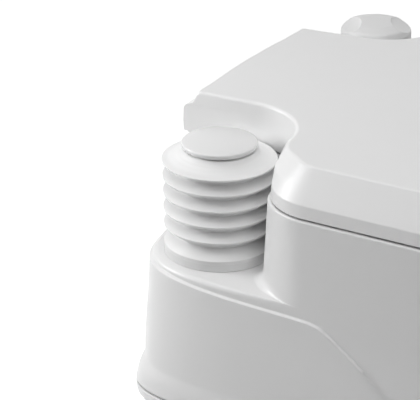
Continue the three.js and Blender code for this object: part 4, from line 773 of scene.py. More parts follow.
def skirt_size(inset):
    return {"half_x": SKIRT["x"] - inset, "half_y": SKIRT["y"] - inset, "power": SKIRT["power"]}


def tank_outside():
    turns = ring_turns(PUMP_BAY, None)[0]
    base = super_radius(turns, HALF_WIDTH, HALF_DEPTH, CORNER_POWER)
    level = step_height(base * np.sin(turns))
    top = LEDGE_Z - LEDGE_RADIUS
    flare_top = RIM_Z + SKIRT["height"]
    flare = np.linspace(RIM_Z, flare_top, ROWS["flare"])
    plain = np.linspace(flare_top, top, ROWS["plain"])[1:]
    rows = [np.full(len(turns), z) for z in np.concatenate([flare, plain])]
    rows += [np.clip(level + STEP_HALF * share, RIM_Z, top) for share in STEP_ROWS]
    rings = [body_ring(RIM_Z, left=PUMP_BAY, is_open=False, **skirt_size(RIM_EDGE))]
    rings += [tank_row(z, level) for z in np.sort(np.stack(rows), axis=0)[1:]]
    for drawn, short in eased_corner(ROWS["ledge"])[1:]:
        z = LEDGE_Z - LEDGE_RADIUS * short
        rings.append(body_ring(z, left=PUMP_BAY, is_open=False, corner_inset=LEDGE_RADIUS * drawn))
    fillet = PUMP_BAY["fillet"]
    for drawn, short in eased_corner(ROWS["fillet"]):
        rings.append(bay_level(LEDGE_Z + fillet * drawn, spread=fillet * short))
    rings += [bay_level(z) for z in np.linspace(LEDGE_Z + fillet, DECK_Z - EDGE_RADIUS, ROWS["bay"])[1:-1]]
    for drawn, short in eased_corner(ROWS["edge"]):
        rings.append(bay_level(DECK_Z - EDGE_RADIUS * short, inset=EDGE_RADIUS * drawn))
    return loft(rings)


def hinge_recess(wall=0):
    """Room in the deck for the lid's cheeks, or with a wall, what the water space leaves round it."""
    return block(
        (-PUMP_BAY["rear"] - OVERRUN, CAP_BAY["rear"] + WALL + wall),
        (HINGE_Y - HINGE["recess_front"] - wall, HALF_DEPTH + OVERRUN),
        (DECK_Z - HINGE["recess"] - wall, DECK_Z + OVERRUN),
    )


def tank_cavity():
    ledge = LEDGE_Z - WALL
    levels = [(FLOOR_Z + WALL, False), (ledge, False), (ledge + 0.01, True), (DECK_Z - WALL, True)]
    rings = [body_ring(z, inset=WALL, left=PUMP_BAY, is_open=is_open) for z, is_open in levels]
    return cut(loft(rings), hinge_recess(WALL))


def skirt_hollow():
    wide = skirt_size(WALL)
    narrow = {"half_x": HALF_WIDTH + HOLLOW["clear"], "half_y": HALF_DEPTH + HOLLOW["clear"]}
    levels = [(RIM_Z - OVERRUN, wide), (RIM_Z + HOLLOW["straight"], wide)]
    levels += [(RIM_Z + HOLLOW["taper"], narrow), (FLOOR_Z, narrow)]
    return loft([body_ring(z, **size) for z, size in levels])


def hinge_bar(radius, ends, side=1, edge=0.0):
    low, high = sorted(side * x for x in ends)
    return bar(radius, low, high, (HINGE_Y, HINGE_Z), 72, "X", edge)


PIN_RADIUS = 3
PIN_END = KNUCKLES["lid"][1] - 4


def pin_hole():
    return hinge_bar(PIN_RADIUS + FIT, around(0, PIN_END + FIT))


def tank_lug(side):
    x = [side * x for x in KNUCKLES["tank"]]
    radius = HINGE["radius"]
    foot = block(x, (HINGE_Y - radius, HINGE_Y + radius / 2), (DECK_Z - HINGE["recess"] - 1, HINGE_Z))
    return joined(foot, hinge_bar(radius, KNUCKLES["tank"], side, HINGE["edge"]))


LATCH_Y, LATCH_HALF = LATCH.middle[1], LATCH.half[1]
LATCH_EYE = 4.5
LATCH_X = HALF_WIDTH - 1
LATCH_Z = LATCH.high[2] - LATCH_EYE
LUG = {"root": 4, "proud": 2.6, "half": 5.5, "low": 33.4, "high": 36.2}  # low and high from the latch's pin
NOTCH = {"depth": 3.2, "side": 1.5, "height": 22}


def latch_lug(side):
    x = [side * (LATCH_X - LUG["root"]), side * (HALF_WIDTH + PANEL_PROUD + LUG["proud"])]
    z = (LATCH_Z + LUG["low"], LATCH_Z + LUG["high"])
    return block(x, around(LATCH_Y, LUG["half"]), z, 0.8, "X", 3)


def latch_notch(side):
    x = [side * (LATCH_X + NOTCH["depth"]), side * OUTSIDE_X]
    z = (RIM_Z - OVERRUN, SKIRT_Z + NOTCH["height"])
    return block(x, around(LATCH_Y, LATCH_HALF + NOTCH["side"]), z, 1.5, "X", 4)


PULL_ROOM = HANDLE.high[0] + 9  # half width of the openings over the slide valve's pull
PULL_ROOM_REAR = 19 - HALF_DEPTH

# Radii of the holes, and how deep one goes below the face it starts from
HOLE = {"pump": 30, "valve": 46, "spout": 22.6, "vent": 2.9, "grip": 4.3, "latch": 2.3, "depth": 8}


def handle_notch():
    """Opening in the front of the skirt, over the slide valve's pull."""
    return block(around(0, PULL_ROOM), (-OUTSIDE_Y, PULL_ROOM_REAR), (RIM_Z - OVERRUN, SKIRT_Z), 4, "Y")


BOWL_REACH = 11  # of its flange
BOWL_HALF_X = BOWL.high[0] - BOWL_REACH
BOWL_HALF_Y = BOWL.half[1] - BOWL_REACH
BOWL_Y = BOWL.middle[1]
BOWL_FOOT = 52
NECK_TAIL = 22
COLLAR_RADIUS = 41.7
WINDOW_DEPTH = WALL * 3  # of the holes for the level windows


def fresh_tank():
    hollowed = cut(tank_outside(), tank_cavity(), skirt_hollow(), hinge_recess())
    notched = cut(hollowed, latch_notch(-1), latch_notch(1), handle_notch())
    obj = joined(notched, latch_lug(-1), latch_lug(1), tank_lug(-1), tank_lug(1))
    deck = (DECK_Z - HOLE["depth"], DECK_Z + OVERRUN)
    pump = (PUMP_X, PUMP_Y)
    window = [(WINDOW.low[k] - FIT, WINDOW.high[k] + FIT) for k in (0, 2)]
    return cut(
        obj,
        loft([oval(BOWL_HALF_X + FIT, BOWL_HALF_Y + FIT, BOWL_Y, z) for z in deck]),
        bar(BOWL_FOOT + FIT, FLOOR_Z - OVERRUN, FLOOR_Z + HOLE["depth"], sides=96),
        bar(NECK_TAIL + FIT, *deck, (FILL_X, FILL_Y)),
        bar(HOLE["pump"], LEDGE_Z - HOLE["depth"], LEDGE_Z + OVERRUN, pump, 96),
        bar(COLLAR_RADIUS + FIT, LEDGE_Z, LEDGE_Z + PUMP_BAY["fillet"], pump, 128),
        block(window[0], (-SKIRT["y"], -HALF_DEPTH + WINDOW_DEPTH), window[1], 2, "Y"),
        pin_hole(),
    )


def fresh_window():
    """A clear strip, its long edges rounded, flush in the front."""
    return bevelled(block(*zip(WINDOW.low, WINDOW.high), 1.8, "Y"), 0.4, 40, 2)


# Bowl

BOWL_UP = [0, 0.028, 0.079, 0.18, 0.383, 0.624, 0.846, 1]
BOWL_WIDE = [0, 0, 0.05, 0.25, 0.55, 0.8, 0.94, 1]
BOWL_DEEP = [0, 0, 0.06, 0.27, 0.56, 0.8, 0.93, 1]
BOWL_ALONG = [0, 0, 0.07, 0.33, 0.64, 0.86, 0.98, 1]
BOWL_WALL = 2.5
BOWL_ROWS = 40
BOWL_SIDES = 120
NOZZLE_Z = DECK_Z - 17
NOZZLE_RADIUS = 7


def bowl_rings(inset, top):
    """Levels of the bowl's wall, from its foot up, each an oval between the foot's circle and the rim."""
    rings = []
    for share in np.linspace(0, 1, BOWL_ROWS):
        half_x = lerp(BOWL_FOOT, BOWL_HALF_X, smooth_through(share, BOWL_UP, BOWL_WIDE)) - inset
        half_y = lerp(BOWL_FOOT, BOWL_HALF_Y, smooth_through(share, BOWL_UP, BOWL_DEEP)) - inset
        y = BOWL_Y * smooth_through(share, BOWL_UP, BOWL_ALONG)
        rings.append(oval(half_x, half_y, y, lerp(BOWL.low[2], DECK_Z + FIT, share), BOWL_SIDES))
    if inset:
        rings[0][:, 2] -= OVERRUN
        rings.append(oval(BOWL_HALF_X - inset, BOWL_HALF_Y - inset, BOWL_Y, top, BOWL_SIDES))
    return rings


def bowl():
    low, high = DECK_Z + FIT, BOWL.high[2]
    reach_x, reach_y, edge = BOWL_HALF_X + BOWL_REACH, BOWL_HALF_Y + BOWL_REACH, 0.8
    levels = [(low, 0), (high - edge, 0), (high, edge)]
    flange = loft([oval(reach_x - drawn, reach_y - drawn, BOWL_Y, z, BOWL_SIDES) for z, drawn in levels])
    body = joined(loft(bowl_rings(0, 0)), flange)
    inside = loft(bowl_rings(BOWL_WALL, high + OVERRUN))
    hole = bar(NOZZLE_RADIUS + FIT, BOWL_Y, BOWL_Y + BOWL_HALF_Y, (0, NOZZLE_Z), 48, "Y")
    return bevelled(cut(body, inside, hole), 0.7)


# Lid and seat

SEAM = 1.7
BAND = 10.1
LID_INSET = 0.9  # the lid's side lies inside the tank's
CHAMFER = 18.5
BAND_RADIUS = 2.4
CREASE_RADIUS = 3.5
LID_EDGE = 0.4
WALL_EDGE = 3
WALL_LEAN = 2.4
LID_STEP = 2.5  # largest distance between two levels of the lid
LID_BOTTOM = DECK_Z + SEAM
LID_TROUGH = {"front": 13, "rise": 11, "rear": 4, "rear_drop": 11}
BAYS = {"left": PUMP_BAY, "right": CAP_BAY}

# Profiles of the lid's three kinds of edge, as (inset, level)
LID_SIDE = [
    (LID_INSET + 2, LID_BOTTOM),
    (LID_INSET, LID_BOTTOM),
    (LID_INSET, LID_BOTTOM + BAND),
    (CHAMFER, LID_Z),
    (CHAMFER + 12, LID_Z),
]
LID_REAR = [(2, LID_BOTTOM), (-1.2, LID_BOTTOM), (-2.2, LID_BOTTOM + 8)]
LID_REAR += [(-2.2, LID_Z - 12.4), (5.6, LID_Z - 10), (11.4, LID_Z), (20, LID_Z)]
LID_WALL = [(2, LID_BOTTOM), (0, LID_BOTTOM), (WALL_LEAN, LID_Z), (WALL_LEAN + 4, LID_Z)]
LID_PROFILES = [
    rounded(LID_SIDE, [LID_EDGE, BAND_RADIUS, CREASE_RADIUS], 8)[1:-1],
    rounded(LID_REAR, [1.2, 12, 5, 1.6, 1.4], 8)[1:-1],
    rounded(LID_WALL, [LID_EDGE, WALL_EDGE], 6)[1:-1],
]
LID_SWELL = [(LID_BOTTOM, 0.4), (LID_BOTTOM + BAND, 0), (LID_Z - 14, 3.6), (LID_Z - 7, 2), (LID_Z, 0)]
LID_BOW = [(LID_Z - 11, 0), (LID_Z - 8, 0.2), (LID_Z, 1)]


def lid_levels():
    """Levels of the lid's outside: those of its three profiles, and more where these are far apart."""
    levels = np.unique(np.round([z for profile in LID_PROFILES for _, z in profile], 3))
    filled = [levels[0]]
    for z in levels[1:]:
        pieces = math.ceil((z - filled[-1]) / LID_STEP)
        filled += list(np.linspace(filled[-1], z, pieces + 1)[1:])
    return filled


def lid_ring(z, insets=(0, 0, 0), extra=0):
    """One level of the lid, drawn in by the insets of its side, its rear and its bays' walls."""
    side, rear, wall = (inset + extra for inset in insets)
    swell, bow = (np.interp(z, *np.array(run).T) for run in (LID_SWELL, LID_BOW))
    return body_ring(z, inset=side, rear_inset=rear, wall_inset=wall, swell=swell, rear_bow=bow, **BAYS)


def lid_outside():
    rings = []
    for z in lid_levels()[:-1]:
        insets = [np.interp(z, levels, drawn) for drawn, levels in (np.array(p).T for p in LID_PROFILES)]
        rings.append(lid_ring(z, insets))
    rings.append(lid_ring(LID_Z, [profile[-1][0] for profile in LID_PROFILES]))
    return loft(rings)


CHEEK = {"drop": 2.6, "ahead": 9, "proud": 1.2, "near": 0.1, "far": 0.2}


def lid_cheek(side):
    """Rear end of the lid's side wall, which reaches down into the deck's recess."""
    low, front, rear = LID_BOTTOM - CHEEK["drop"], HINGE_Y - CHEEK["ahead"], HALF_DEPTH + CHEEK["proud"]
    outline = rounded([(front, HINGE_Z), (front, low), (rear, low), (rear, HINGE_Z)], [1.5, 6], 6)
    near, far = KNUCKLES["lid"]
    x = sorted((side * (near + CHEEK["near"]), side * (far - CHEEK["far"])))
    return prism(outline, *x, "X")


def lid_shell():
    below, rear = LID_BOTTOM - OVERRUN, HALF_DEPTH + OVERRUN
    rings = [lid_ring(z, extra=WALL) for z in (below, LID_BOTTOM + BAND)]
    space = loft(rings + [lid_ring(LID_Z - WALL, (CHAMFER * 0.85, 11.5, 0), WALL)])
    near = KNUCKLES["lid"][0]
    front = HINGE_Y - LID_TROUGH["front"]
    web_y = (front - WALL, HALF_DEPTH)
    webs = [block((s * near, s * (near + WALL)), web_y, (below, LID_Z)) for s in (-1, 1)]
    barrels = [hinge_bar(HINGE["radius"], KNUCKLES["lid"], s) for s in (-1, 1)]
    inside = cut(space, *webs, *barrels)
    cheeks = [lid_cheek(s) for s in (-1, 1)]
    across = around(0, near)
    trough = block(across, (front, rear), (below, HINGE_Z + LID_TROUGH["rise"]), 2, "X")
    rear_cut = block(across, (HINGE_Y + LID_TROUGH["rear"], rear), (below, LID_Z - LID_TROUGH["rear_drop"]))
    return cut(joined(cut(lid_outside(), inside), *cheeks), trough, rear_cut, pin_hole())


SEAT_INSET = 7
SEAT_EDGE = 4
SEAT_RIM = 12
SEAT_REAR_Y = HINGE_Y - 16
SEAT_BOTTOM = DECK_Z + 7
SEAT_TOP = SEAT_BOTTOM + 13


def seat():
    profile = [(6, SEAT_BOTTOM), (0, SEAT_BOTTOM), (0, SEAT_TOP - SEAT_EDGE * 0.8)]
    profile += [(SEAT_EDGE, SEAT_TOP - 0.6), (SEAT_EDGE + 14, SEAT_TOP)]
    profile = rounded(profile, [1.3, 3.5, 6], 7)[1:-1]
    outside = loft([lid_ring(z, extra=SEAT_INSET + inset) for inset, z in profile])
    hole_x, hole_y = BOWL_HALF_X - SEAT_RIM, BOWL_HALF_Y - SEAT_RIM
    below = SEAT_BOTTOM - OVERRUN
    mouth = rounded([(0, below), (0, SEAT_TOP - 0.4), (8, SEAT_TOP + 2)], [5], 8)
    opening = loft([oval(hole_x + out, hole_y + out, BOWL_Y, z, BOWL_SIDES) for out, z in mouth])
    rear = block(around(0, HALF_WIDTH), (SEAT_REAR_Y, HALF_DEPTH), (below, SEAT_TOP + OVERRUN))
    body = cut(outside, opening, rear)
    arm_y, arm_z = (SEAT_REAR_Y - OVERRUN, HINGE_Y), (SEAT_BOTTOM, SEAT_TOP - 2)
    arms = [block([s * x for x in KNUCKLES["seat"]], arm_y, arm_z) for s in (-1, 1)]
    barrels = [hinge_bar(HINGE["seat_radius"], KNUCKLES["seat"], s, HINGE["edge"]) for s in (-1, 1)]
    return cut(joined(body, *arms, *barrels), pin_hole())


def buffer(node):
    """A rubber foot, its free end rounded."""
    foot = box(node)
    return bar(foot.half[0], foot.low[2], foot.high[2], foot.middle[:2], 40, "Z", 1)


# Flush pump

FOLDS = {"discs": 6, "pitch": 12.78, "first": 11, "valley": 34, "wall": 1.6, "rim": 1.5}
CROWN = [(5.4, 1.0), (10.4, 3.2), (13.4, 5.2), (16.4, 8.2)]  # of the top fold: inward of its rim, above it
RIM_RADII = [41.8, 42.0, 42.3, 42.5, 42.8, BELLOWS_RADIUS]  # lowest first


def bellows_rim(disc):
    """Level of a rim's upper edge."""
    return LEDGE_Z + FOLDS["first"] + disc * FOLDS["pitch"]


def pump_bellows():
    """Five folds, each an open cone above and an undercut below its rim, over a plain lowest one."""
    foot, top, valley, wall = COLLAR_TOP + 0.05, BELLOWS.high[2], FOLDS["valley"], FOLDS["wall"]
    outside = [(COLLAR_RADIUS, foot), (RIM_RADII[0], bellows_rim(0) - 2.4)]
    inside = [(valley - wall, foot)]
    radii = [0.7]
    for disc in range(FOLDS["discs"]):
        rim, radius = bellows_rim(disc), RIM_RADII[disc]
        if disc:
            outside += [(valley, rim - 4.6), (radius - 0.3, rim - FOLDS["rim"]), (radius, rim)]
            radii += [1.2, 0.5, 0.6]
        inside.append((radius - 4, rim - FOLDS["rim"] / 2))
        if disc < FOLDS["discs"] - 1:
            outside.append((valley, rim + 5.4))
            radii.append(0.8)
            inside.append((valley - wall, rim + FOLDS["pitch"] / 2))
    outside += [(BELLOWS_RADIUS - inward, top - CROWN[-1][1] + rise) for inward, rise in CROWN]
    outside.append((5, top))
    radii += [14, 14, 8, 3]
    profile = rounded(outside, radii, 5)
    profile += [(5, top - wall)] + inside[::-1] + [outside[0]]
    return lathe(profile, (PUMP_X, PUMP_Y, 0), 160)


def pump_button():
    low, high = BUTTON.low[2], BUTTON.high[2]
    dome, socket, plug = 1.8, 3.8, 25
    top = high - dome
    outline = [(socket, low), (plug, low), (plug, low + 0.9), (BUTTON_RADIUS - 0.8, low + 1.3)]
    outline += [(BUTTON_RADIUS, top), (BUTTON_RADIUS - 4, top + 0.55)]
    profile = rounded(outline, [0.3, 0.3, 0.8, 1.2], 6)
    start = profile[-1]
    for share in np.linspace(0, 1, 12)[1:]:
        radius = start[0] * (1 - share)
        profile.append((radius, start[1] + (high - start[1]) * (1 - (1 - share) ** 2)))
    profile += [(0, low + 4), (socket, low + 4), (socket, low)]
    return lathe(profile, (PUMP_X, PUMP_Y, 0), 128)


def pump_base():
    """Collar on the ledge, neck through it, and the barrel with its barb below."""
    top, shelf, tail, hub = COLLAR_TOP, LEDGE_Z + FIT, LEDGE_Z - 15, LEDGE_Z - 27
    collar, neck, barrel, bore, guide = COLLAR_RADIUS, 29.7, 16, 12, 5
    outline = [(guide, hub), (barrel, hub), (barrel, tail), (neck, tail), (neck, shelf), (collar, shelf)]
    outline += [(collar, top), (bore, top), (bore, hub + 6), (guide, hub + 6), (guide, hub)]
    profile = rounded(outline, [0.6, 0.5, 0.4, 0.4, 0, 0, 0.5, 0.5, 0.3], 4)
    obj = lathe(profile + [profile[0]], (PUMP_X, PUMP_Y, 0), 128)
    barb_z = LEDGE_Z - 20.4
    pipe, tooth, pitch, first, end = 3.9, 4.6, 4.6, 24, 38
    barb = [(0, 14.5), (tooth, 14.5)]
    for start in (first + k * pitch for k in range(3)):
        barb += [(pipe, start), (tooth, start + 0.6), (pipe, start + 4.4)]
    barb += [(pipe, end), (0, end)]
    stub = lathe(barb, (PUMP_X, PUMP_Y, barb_z), 48, "X")
    port = bar(3, PUMP_X + 8, PUMP_X + 42, (PUMP_Y, barb_z), 32, "X")
    return cut(joined(obj, stub), port)


# Fill neck and cap

CAP_CROWN = [(30.2, 3), (29.6, 26), (27, 30.6), (16, 33), (0, 33.4)]  # radius, height above the deck
CAP_WALL = 3
SCOOP_RADIUS = 24
SCOOP_DEPTH = 7
CAP_GRIP_HALF = 17
CAP_GRIP_TURN = math.radians(30)


def fill_neck():
    """Flanged neck with two turns of a coarse screw thread, drawn as rounded ribs."""
    low, high = NECK.low[2], NECK.high[2]
    bore, rib, flange = 19, 22.5, NECK.half[0]
    neck = rib - 1
    deck = DECK_Z + FIT
    outline = [(bore, low), (NECK_TAIL, low), (NECK_TAIL, deck), (flange, deck), (flange, deck + 2)]
    outline += [(neck, deck + 2), (neck, high - 9), (rib, high - 8.2), (neck, high - 7.4)]
    outline += [(neck, high - 4.6), (rib, high - 3.8), (neck, high - 3), (neck, high), (bore, high)]
    outline.append((bore, low))
    profile = rounded(outline, [0.4, 0.2, 0.4, 0.8, 0.8, 0.3, 0.3, 0.3, 0.3, 0.3, 0.3, 0.6, 0.6], 3)
    return lathe(profile + [profile[0]], (FILL_X, FILL_Y, 0), 96)


def fill_cap():
    """Screw cap with a bar grip between two finger scoops."""
    low, bore = CAP.low[2], CAP_RADIUS - CAP_WALL
    roof = NECK.high[2] + SEAL + FIT * 2
    outline = [(bore, low)] + [(radius, DECK_Z + up) for radius, up in CAP_CROWN]
    profile = rounded(outline, [0.6, 3, 4, 6, 8], 8)
    profile += [(0, roof), (bore, roof), (bore, low)]
    obj = lathe(profile, (FILL_X, FILL_Y, 0), 128)
    crown = Matrix.Translation(Vector((FILL_X, FILL_Y, DECK_Z + CAP_CROWN[-1][1])) * MM)
    stretch = Matrix.Diagonal((CAP_RADIUS / SCOOP_RADIUS, 1, SCOOP_DEPTH / SCOOP_RADIUS, 1))
    scoops = [ball(SCOOP_RADIUS), ball(SCOOP_RADIUS)]
    for side, scoop in zip((-1, 1), scoops):
        reach = Matrix.Translation(Vector((0, side * (CAP_GRIP_HALF + SCOOP_RADIUS * 0.8), 0)) * MM)
        scoop.data.transform(crown @ Matrix.Rotation(CAP_GRIP_TURN, 4, "Z") @ reach @ stretch)
    return bevelled(cut(obj, *scoops), 0.8, 20)


# Waste section

WASTE = {"inset": 0.5, "draft": 1, "base": 9, "base_height": 14, "shoulder": 6.9, "tuck": 17}
SHOULDER_UP = [0, 0.33, 0.67, 1]
SHOULDER_OUT = [0, 0.7, 0.96, 1]


def waste_ring(z, inset):
    share = np.clip((WASTE["inset"] - inset) / WASTE["shoulder"], 0, 1)
    power = lerp(CORNER_POWER, SKIRT["power"], share)
    return body_ring(z, half_x=HALF_WIDTH - inset, half_y=HALF_DEPTH - inset, power=power)


def waste_outside():
    shoulder_z = SHOULDER_Z - RIM_DROP
    side, foot, tuck = WASTE["inset"], WASTE["base"], shoulder_z - WASTE["tuck"]
    step = (side, shoulder_z + 0.01)
    base = [(foot + 8, 0), (foot - 4, 0), (side + WASTE["draft"], WASTE["base_height"]), (side, tuck)]
    shoulder = []
    for share in np.linspace(0, 1, 16)[1:]:
        out = smooth_through(share, SHOULDER_UP, SHOULDER_OUT)
        shoulder.append((side - WASTE["shoulder"] * out, lerp(tuck, shoulder_z - 0.8, share)))
    edge = rounded([shoulder[-1], (side - WASTE["shoulder"], shoulder_z), step], [0.7], 4)
    deck = rounded([step, (side, WASTE_DECK_Z), (side + 6, WASTE_DECK_Z)], [1.5], 5)
    profile = rounded(base, [8, 10], 8)[1:] + shoulder[:-1] + edge[1:] + deck[1:-1]
    return loft([waste_ring(z, inset) for inset, z in profile])


ELBOW = {"x": 120, "y": HALF_DEPTH - 50, "z": SHOULDER_Z - 35.5, "shelf": 37, "ahead": 31, "end": 66.7}
ELBOW_AT = (ELBOW["x"], ELBOW["y"])
SHELF_Z = ELBOW["z"] - ELBOW["shelf"]  # floor of the notch that the spout stands in
VENT_AT = tuple(VENT.middle[:2])
VENT_ROOM = 15
VENT_FLOOR = WASTE_DECK_Z - 12.7
VALVE_Z = VALVE.low[2]
BLADE_HALF = 55
GRIP_HALF_WIDTH = 62
GRIP_ROOM_REAR = 48 - HALF_DEPTH
GRIP_TOP = SHOULDER_Z - 44.5
GRIP_AT = tuple(GRIP.middle[1:])
ABOVE = WASTE_DECK_Z + OVERRUN


ROUND_WINDOW_AT = (ROUND_WINDOW.middle[0], ROUND_WINDOW.middle[2])
ROUND_WINDOW_RADIUS = 9


def pocket(x, y, z, wall, radius=0.0, axis="Z", steps=5):
    """A cutter over three spans, grown by a wall at each end that lies inside the body."""
    spans = []
    for (low, high), reach in zip((x, y, z), (OUTSIDE_X, OUTSIDE_Y, ABOVE)):
        spans.append((low if low <= -reach else low - wall, high if high >= reach else high + wall))
    return block(*spans, radius, axis, steps)


LATCH_ROOM = {"depth": 10, "side": 2, "low": 46, "pin_end": 6}


def latch_pocket(side, wall):
    """Opening for a latch. With a wall it is longer too, to hold the ends of the latch's pin."""
    x = [side * (LATCH_X - LATCH_ROOM["depth"] - wall), side * OUTSIDE_X]
    half = LATCH_HALF + LATCH_ROOM["side"] + (WALL + 4 if wall else 0)
    top = ABOVE if wall else SHOULDER_Z + OVERRUN
    return block(x, around(LATCH_Y, half), (LATCH_Z - LATCH_ROOM["low"] - wall, top), 3, "X")


def pockets(wall=0):
    """Openings of the waste section, or with a wall, what its inside leaves round them."""
    notch = (SPOUT_CAP.low[0] - ELBOW["end"], OUTSIDE_X), (ELBOW["y"] - ELBOW["ahead"], OUTSIDE_Y)
    valve = around(0, VALVE.high[0] + FIT), (VALVE.low[1] - FIT, VALVE.high[1] + FIT)
    blade = around(0, BLADE_HALF + FIT + wall), (-OUTSIDE_Y, VALVE.low[1])
    pull = around(0, PULL_ROOM), (-OUTSIDE_Y, PULL_ROOM_REAR)
    grip = around(0, GRIP_HALF_WIDTH), (-OUTSIDE_Y, GRIP_ROOM_REAR)
    return [
        pocket(*notch, (SHELF_Z, ABOVE), wall, max(4 - wall, 1)),
        pocket(*valve, (VALVE_Z - FIT, ABOVE), wall),
        block(*blade, (VALVE_Z - FIT - wall, ABOVE)),
        pocket(*pull, (VALVE_Z - 15, ABOVE), wall, 5, "Y"),
        pocket(*grip, (GRIP_TOP - 56, GRIP_TOP), wall, 5, "Y", 6),
        bar(VENT_ROOM + wall, VENT_FLOOR - wall, ABOVE, VENT_AT, 64),
        *(latch_pocket(side, wall) for side in (-1, 1)),
    ]


def waste_tank():
    foot, side = WASTE["base"], WASTE["inset"]
    levels = [(WALL, foot), (WASTE["base_height"], side + WASTE["draft"]), (WASTE_DECK_Z - WALL, side)]
    space = loft([waste_ring(z, inset + WALL) for z, inset in levels])
    shell = cut(waste_outside(), cut(space, *pockets(WALL)))
    window_y = (-SKIRT["y"], -HALF_DEPTH + WINDOW_DEPTH)
    pin_y = around(LATCH_Y, LATCH_HALF + LATCH_ROOM["pin_end"])
    return cut(
        shell,
        *pockets(),
        bar(HOLE["valve"], VALVE_Z - HOLE["depth"], VALVE_Z + OVERRUN, sides=96),
        bar(HOLE["spout"], SHELF_Z - HOLE["depth"], SHELF_Z + OVERRUN, ELBOW_AT, 72),
        bar(HOLE["vent"], VENT_FLOOR - HOLE["depth"], VENT_FLOOR + OVERRUN, VENT_AT, 24),
        bar(HOLE["grip"], *around(0, GRIP_HALF_WIDTH + 4), GRIP_AT, 32, "X"),
        bar(ROUND_WINDOW_RADIUS + FIT, *window_y, ROUND_WINDOW_AT, 64, "Y"),
        *(bar(HOLE["latch"], *pin_y, (s * LATCH_X, LATCH_Z), 32, "Y") for s in (-1, 1)),
    )


def round_window():
    y = (ROUND_WINDOW.low[1], ROUND_WINDOW.high[1])
    return bar(ROUND_WINDOW_RADIUS, *y, ROUND_WINDOW_AT, 64, "Y", 0.5)


def pour_spout():
    """Swivelling elbow with a flange at its foot and a threaded mouth."""
    x, y, z = ELBOW["x"], ELBOW["y"], ELBOW["z"]
    riser, tube, bore, flange = 22, 20, 16.5, 28
    mouth, foot = SPOUT.low[0], SPOUT.low[2]
    flange_z = SHELF_Z + FIT * 2 + SEAL
    thread = [(0, mouth), (tube - 1, mouth)]
    for start in (mouth + 4.5, mouth + 10):
        thread += [(tube - 1, start), (tube, start + 0.9), (tube - 1, start + 1.8)]
    thread += [(tube - 1, mouth + 17), (tube, mouth + 18), (tube, x), (0, x)]
    outside = joined(
        bar(riser, foot, z, ELBOW_AT, 96, "Z", 0.6),
        ball(riser, (x, y, z), 30),
        lathe(thread, (0, y, z), 96, "X"),
        bar(flange, flange_z, flange_z + 3, ELBOW_AT, 96, "Z", 0.8),
    )
    upright = bar(bore, foot - OVERRUN, z, ELBOW_AT, 96)
    level = bar(bore, mouth - OVERRUN, x, (y, z), 96, "X")
    return cut(outside, upright, ball(bore, (x, y, z), 30), level)


CAP_RIBS = 36


def spout_cap():
    """Screw cap, its side ribbed for grip."""
    low, high = SPOUT_CAP.low[0], SPOUT_CAP.high[0]
    y, z = ELBOW["y"], ELBOW["z"]
    radius, wall = SPOUT_CAP.half[2], 2.5
    bore = radius - wall
    outline = [(0, low), (radius, low), (radius, high), (bore, high), (bore, low + wall), (0, low + wall)]
    body = lathe(rounded(outline, [2, 0.6, 0.6, 1], 4), (0, y, z), 144, "X")
    places = [on_arc((y, z), radius + 0.9, 2 * math.pi * k / CAP_RIBS) for k in range(CAP_RIBS)]
    return cut(body, *(bar(1.5, low + 3, high - 3, place, 12, "X", 0.7) for place in places))


LEVER = {"set_in": 5, "half": 1.4, "window_low": 37.5, "window_high": 32, "window_half": 7}


def latch(side):
    """Lever with its eye on the pin and a window that hooks over the lug."""
    plate_x, pivot_x = side * (LATCH_X - LEVER["set_in"]), side * LATCH_X
    x, y = around(plate_x, LEVER["half"]), around(LATCH_Y, LATCH_HALF)
    eye_top = LATCH_Z + LATCH_EYE / 2
    lever = block(x, y, (LATCH.low[2], eye_top), 2.5, "X")
    bridge = block((plate_x, pivot_x), y, (LATCH_Z - LATCH_EYE / 2, eye_top))
    eye = bar(LATCH_EYE, *y, (pivot_x, LATCH_Z), 48, "Y")
    window_x = (x[0] - OVERRUN, x[1] + OVERRUN)
    window_z = (LATCH_Z - LEVER["window_low"], LATCH_Z - LEVER["window_high"])
    window = block(window_x, around(LATCH_Y, LEVER["window_half"]), window_z, 1, "X", 3)
    hole = bar(HOLE["latch"], y[0] - OVERRUN, y[1] + OVERRUN, (pivot_x, LATCH_Z), 32, "Y")
    return bevelled(cut(joined(lever, eye, bridge), window, hole), 0.5)


def carry_handle():
    """Grip bar, fuller in the middle than at its stubs, with rounded ends."""
    half, stub, thin, full = GRIP_HALF_WIDTH - FIT, GRIP.high[0], 4, 8
    outline = [(0, -stub), (thin, -stub), (thin, -half), (full, -half)]
    outline += [(radius, -x) for radius, x in outline[::-1]]
    return lathe(rounded(outline, [0.5, 0.3, 1.6, 1.6, 0.3, 0.5], 5), (0, *GRIP_AT), 64, "X")


PULL = {"depth": 13.5, "scoop_half": 36, "scoop_depth": 5, "rod_half": 12, "rod_up": 2.8, "rod_height": 2.9}


def valve_handle():
    """Pull of the slide valve: a rounded grip on the blade's flat rod."""
    rod_z, rear = VALVE_Z + PULL["rod_up"], HANDLE.low[1] + PULL["depth"]
    rod_y = (rear - OVERRUN, HANDLE.high[1])
    rod = block(around(0, PULL["rod_half"]), rod_y, (rod_z, rod_z + PULL["rod_height"]))
    x, z = ((HANDLE.low[k], HANDLE.high[k]) for k in (0, 2))
    pull = block(x, (HANDLE.low[1], rear), z, 4.5, "Z", 8)
    scoop_y, scoop_z = (rear - PULL["scoop_depth"], rear + 2), (HANDLE.low[2] - OVERRUN, rod_z - 1.5)
    scoop = block(around(0, PULL["scoop_half"]), scoop_y, scoop_z, 2, "Z")
    return joined(cut(bevelled(pull, 1.6, 50, 4), scoop), rod)


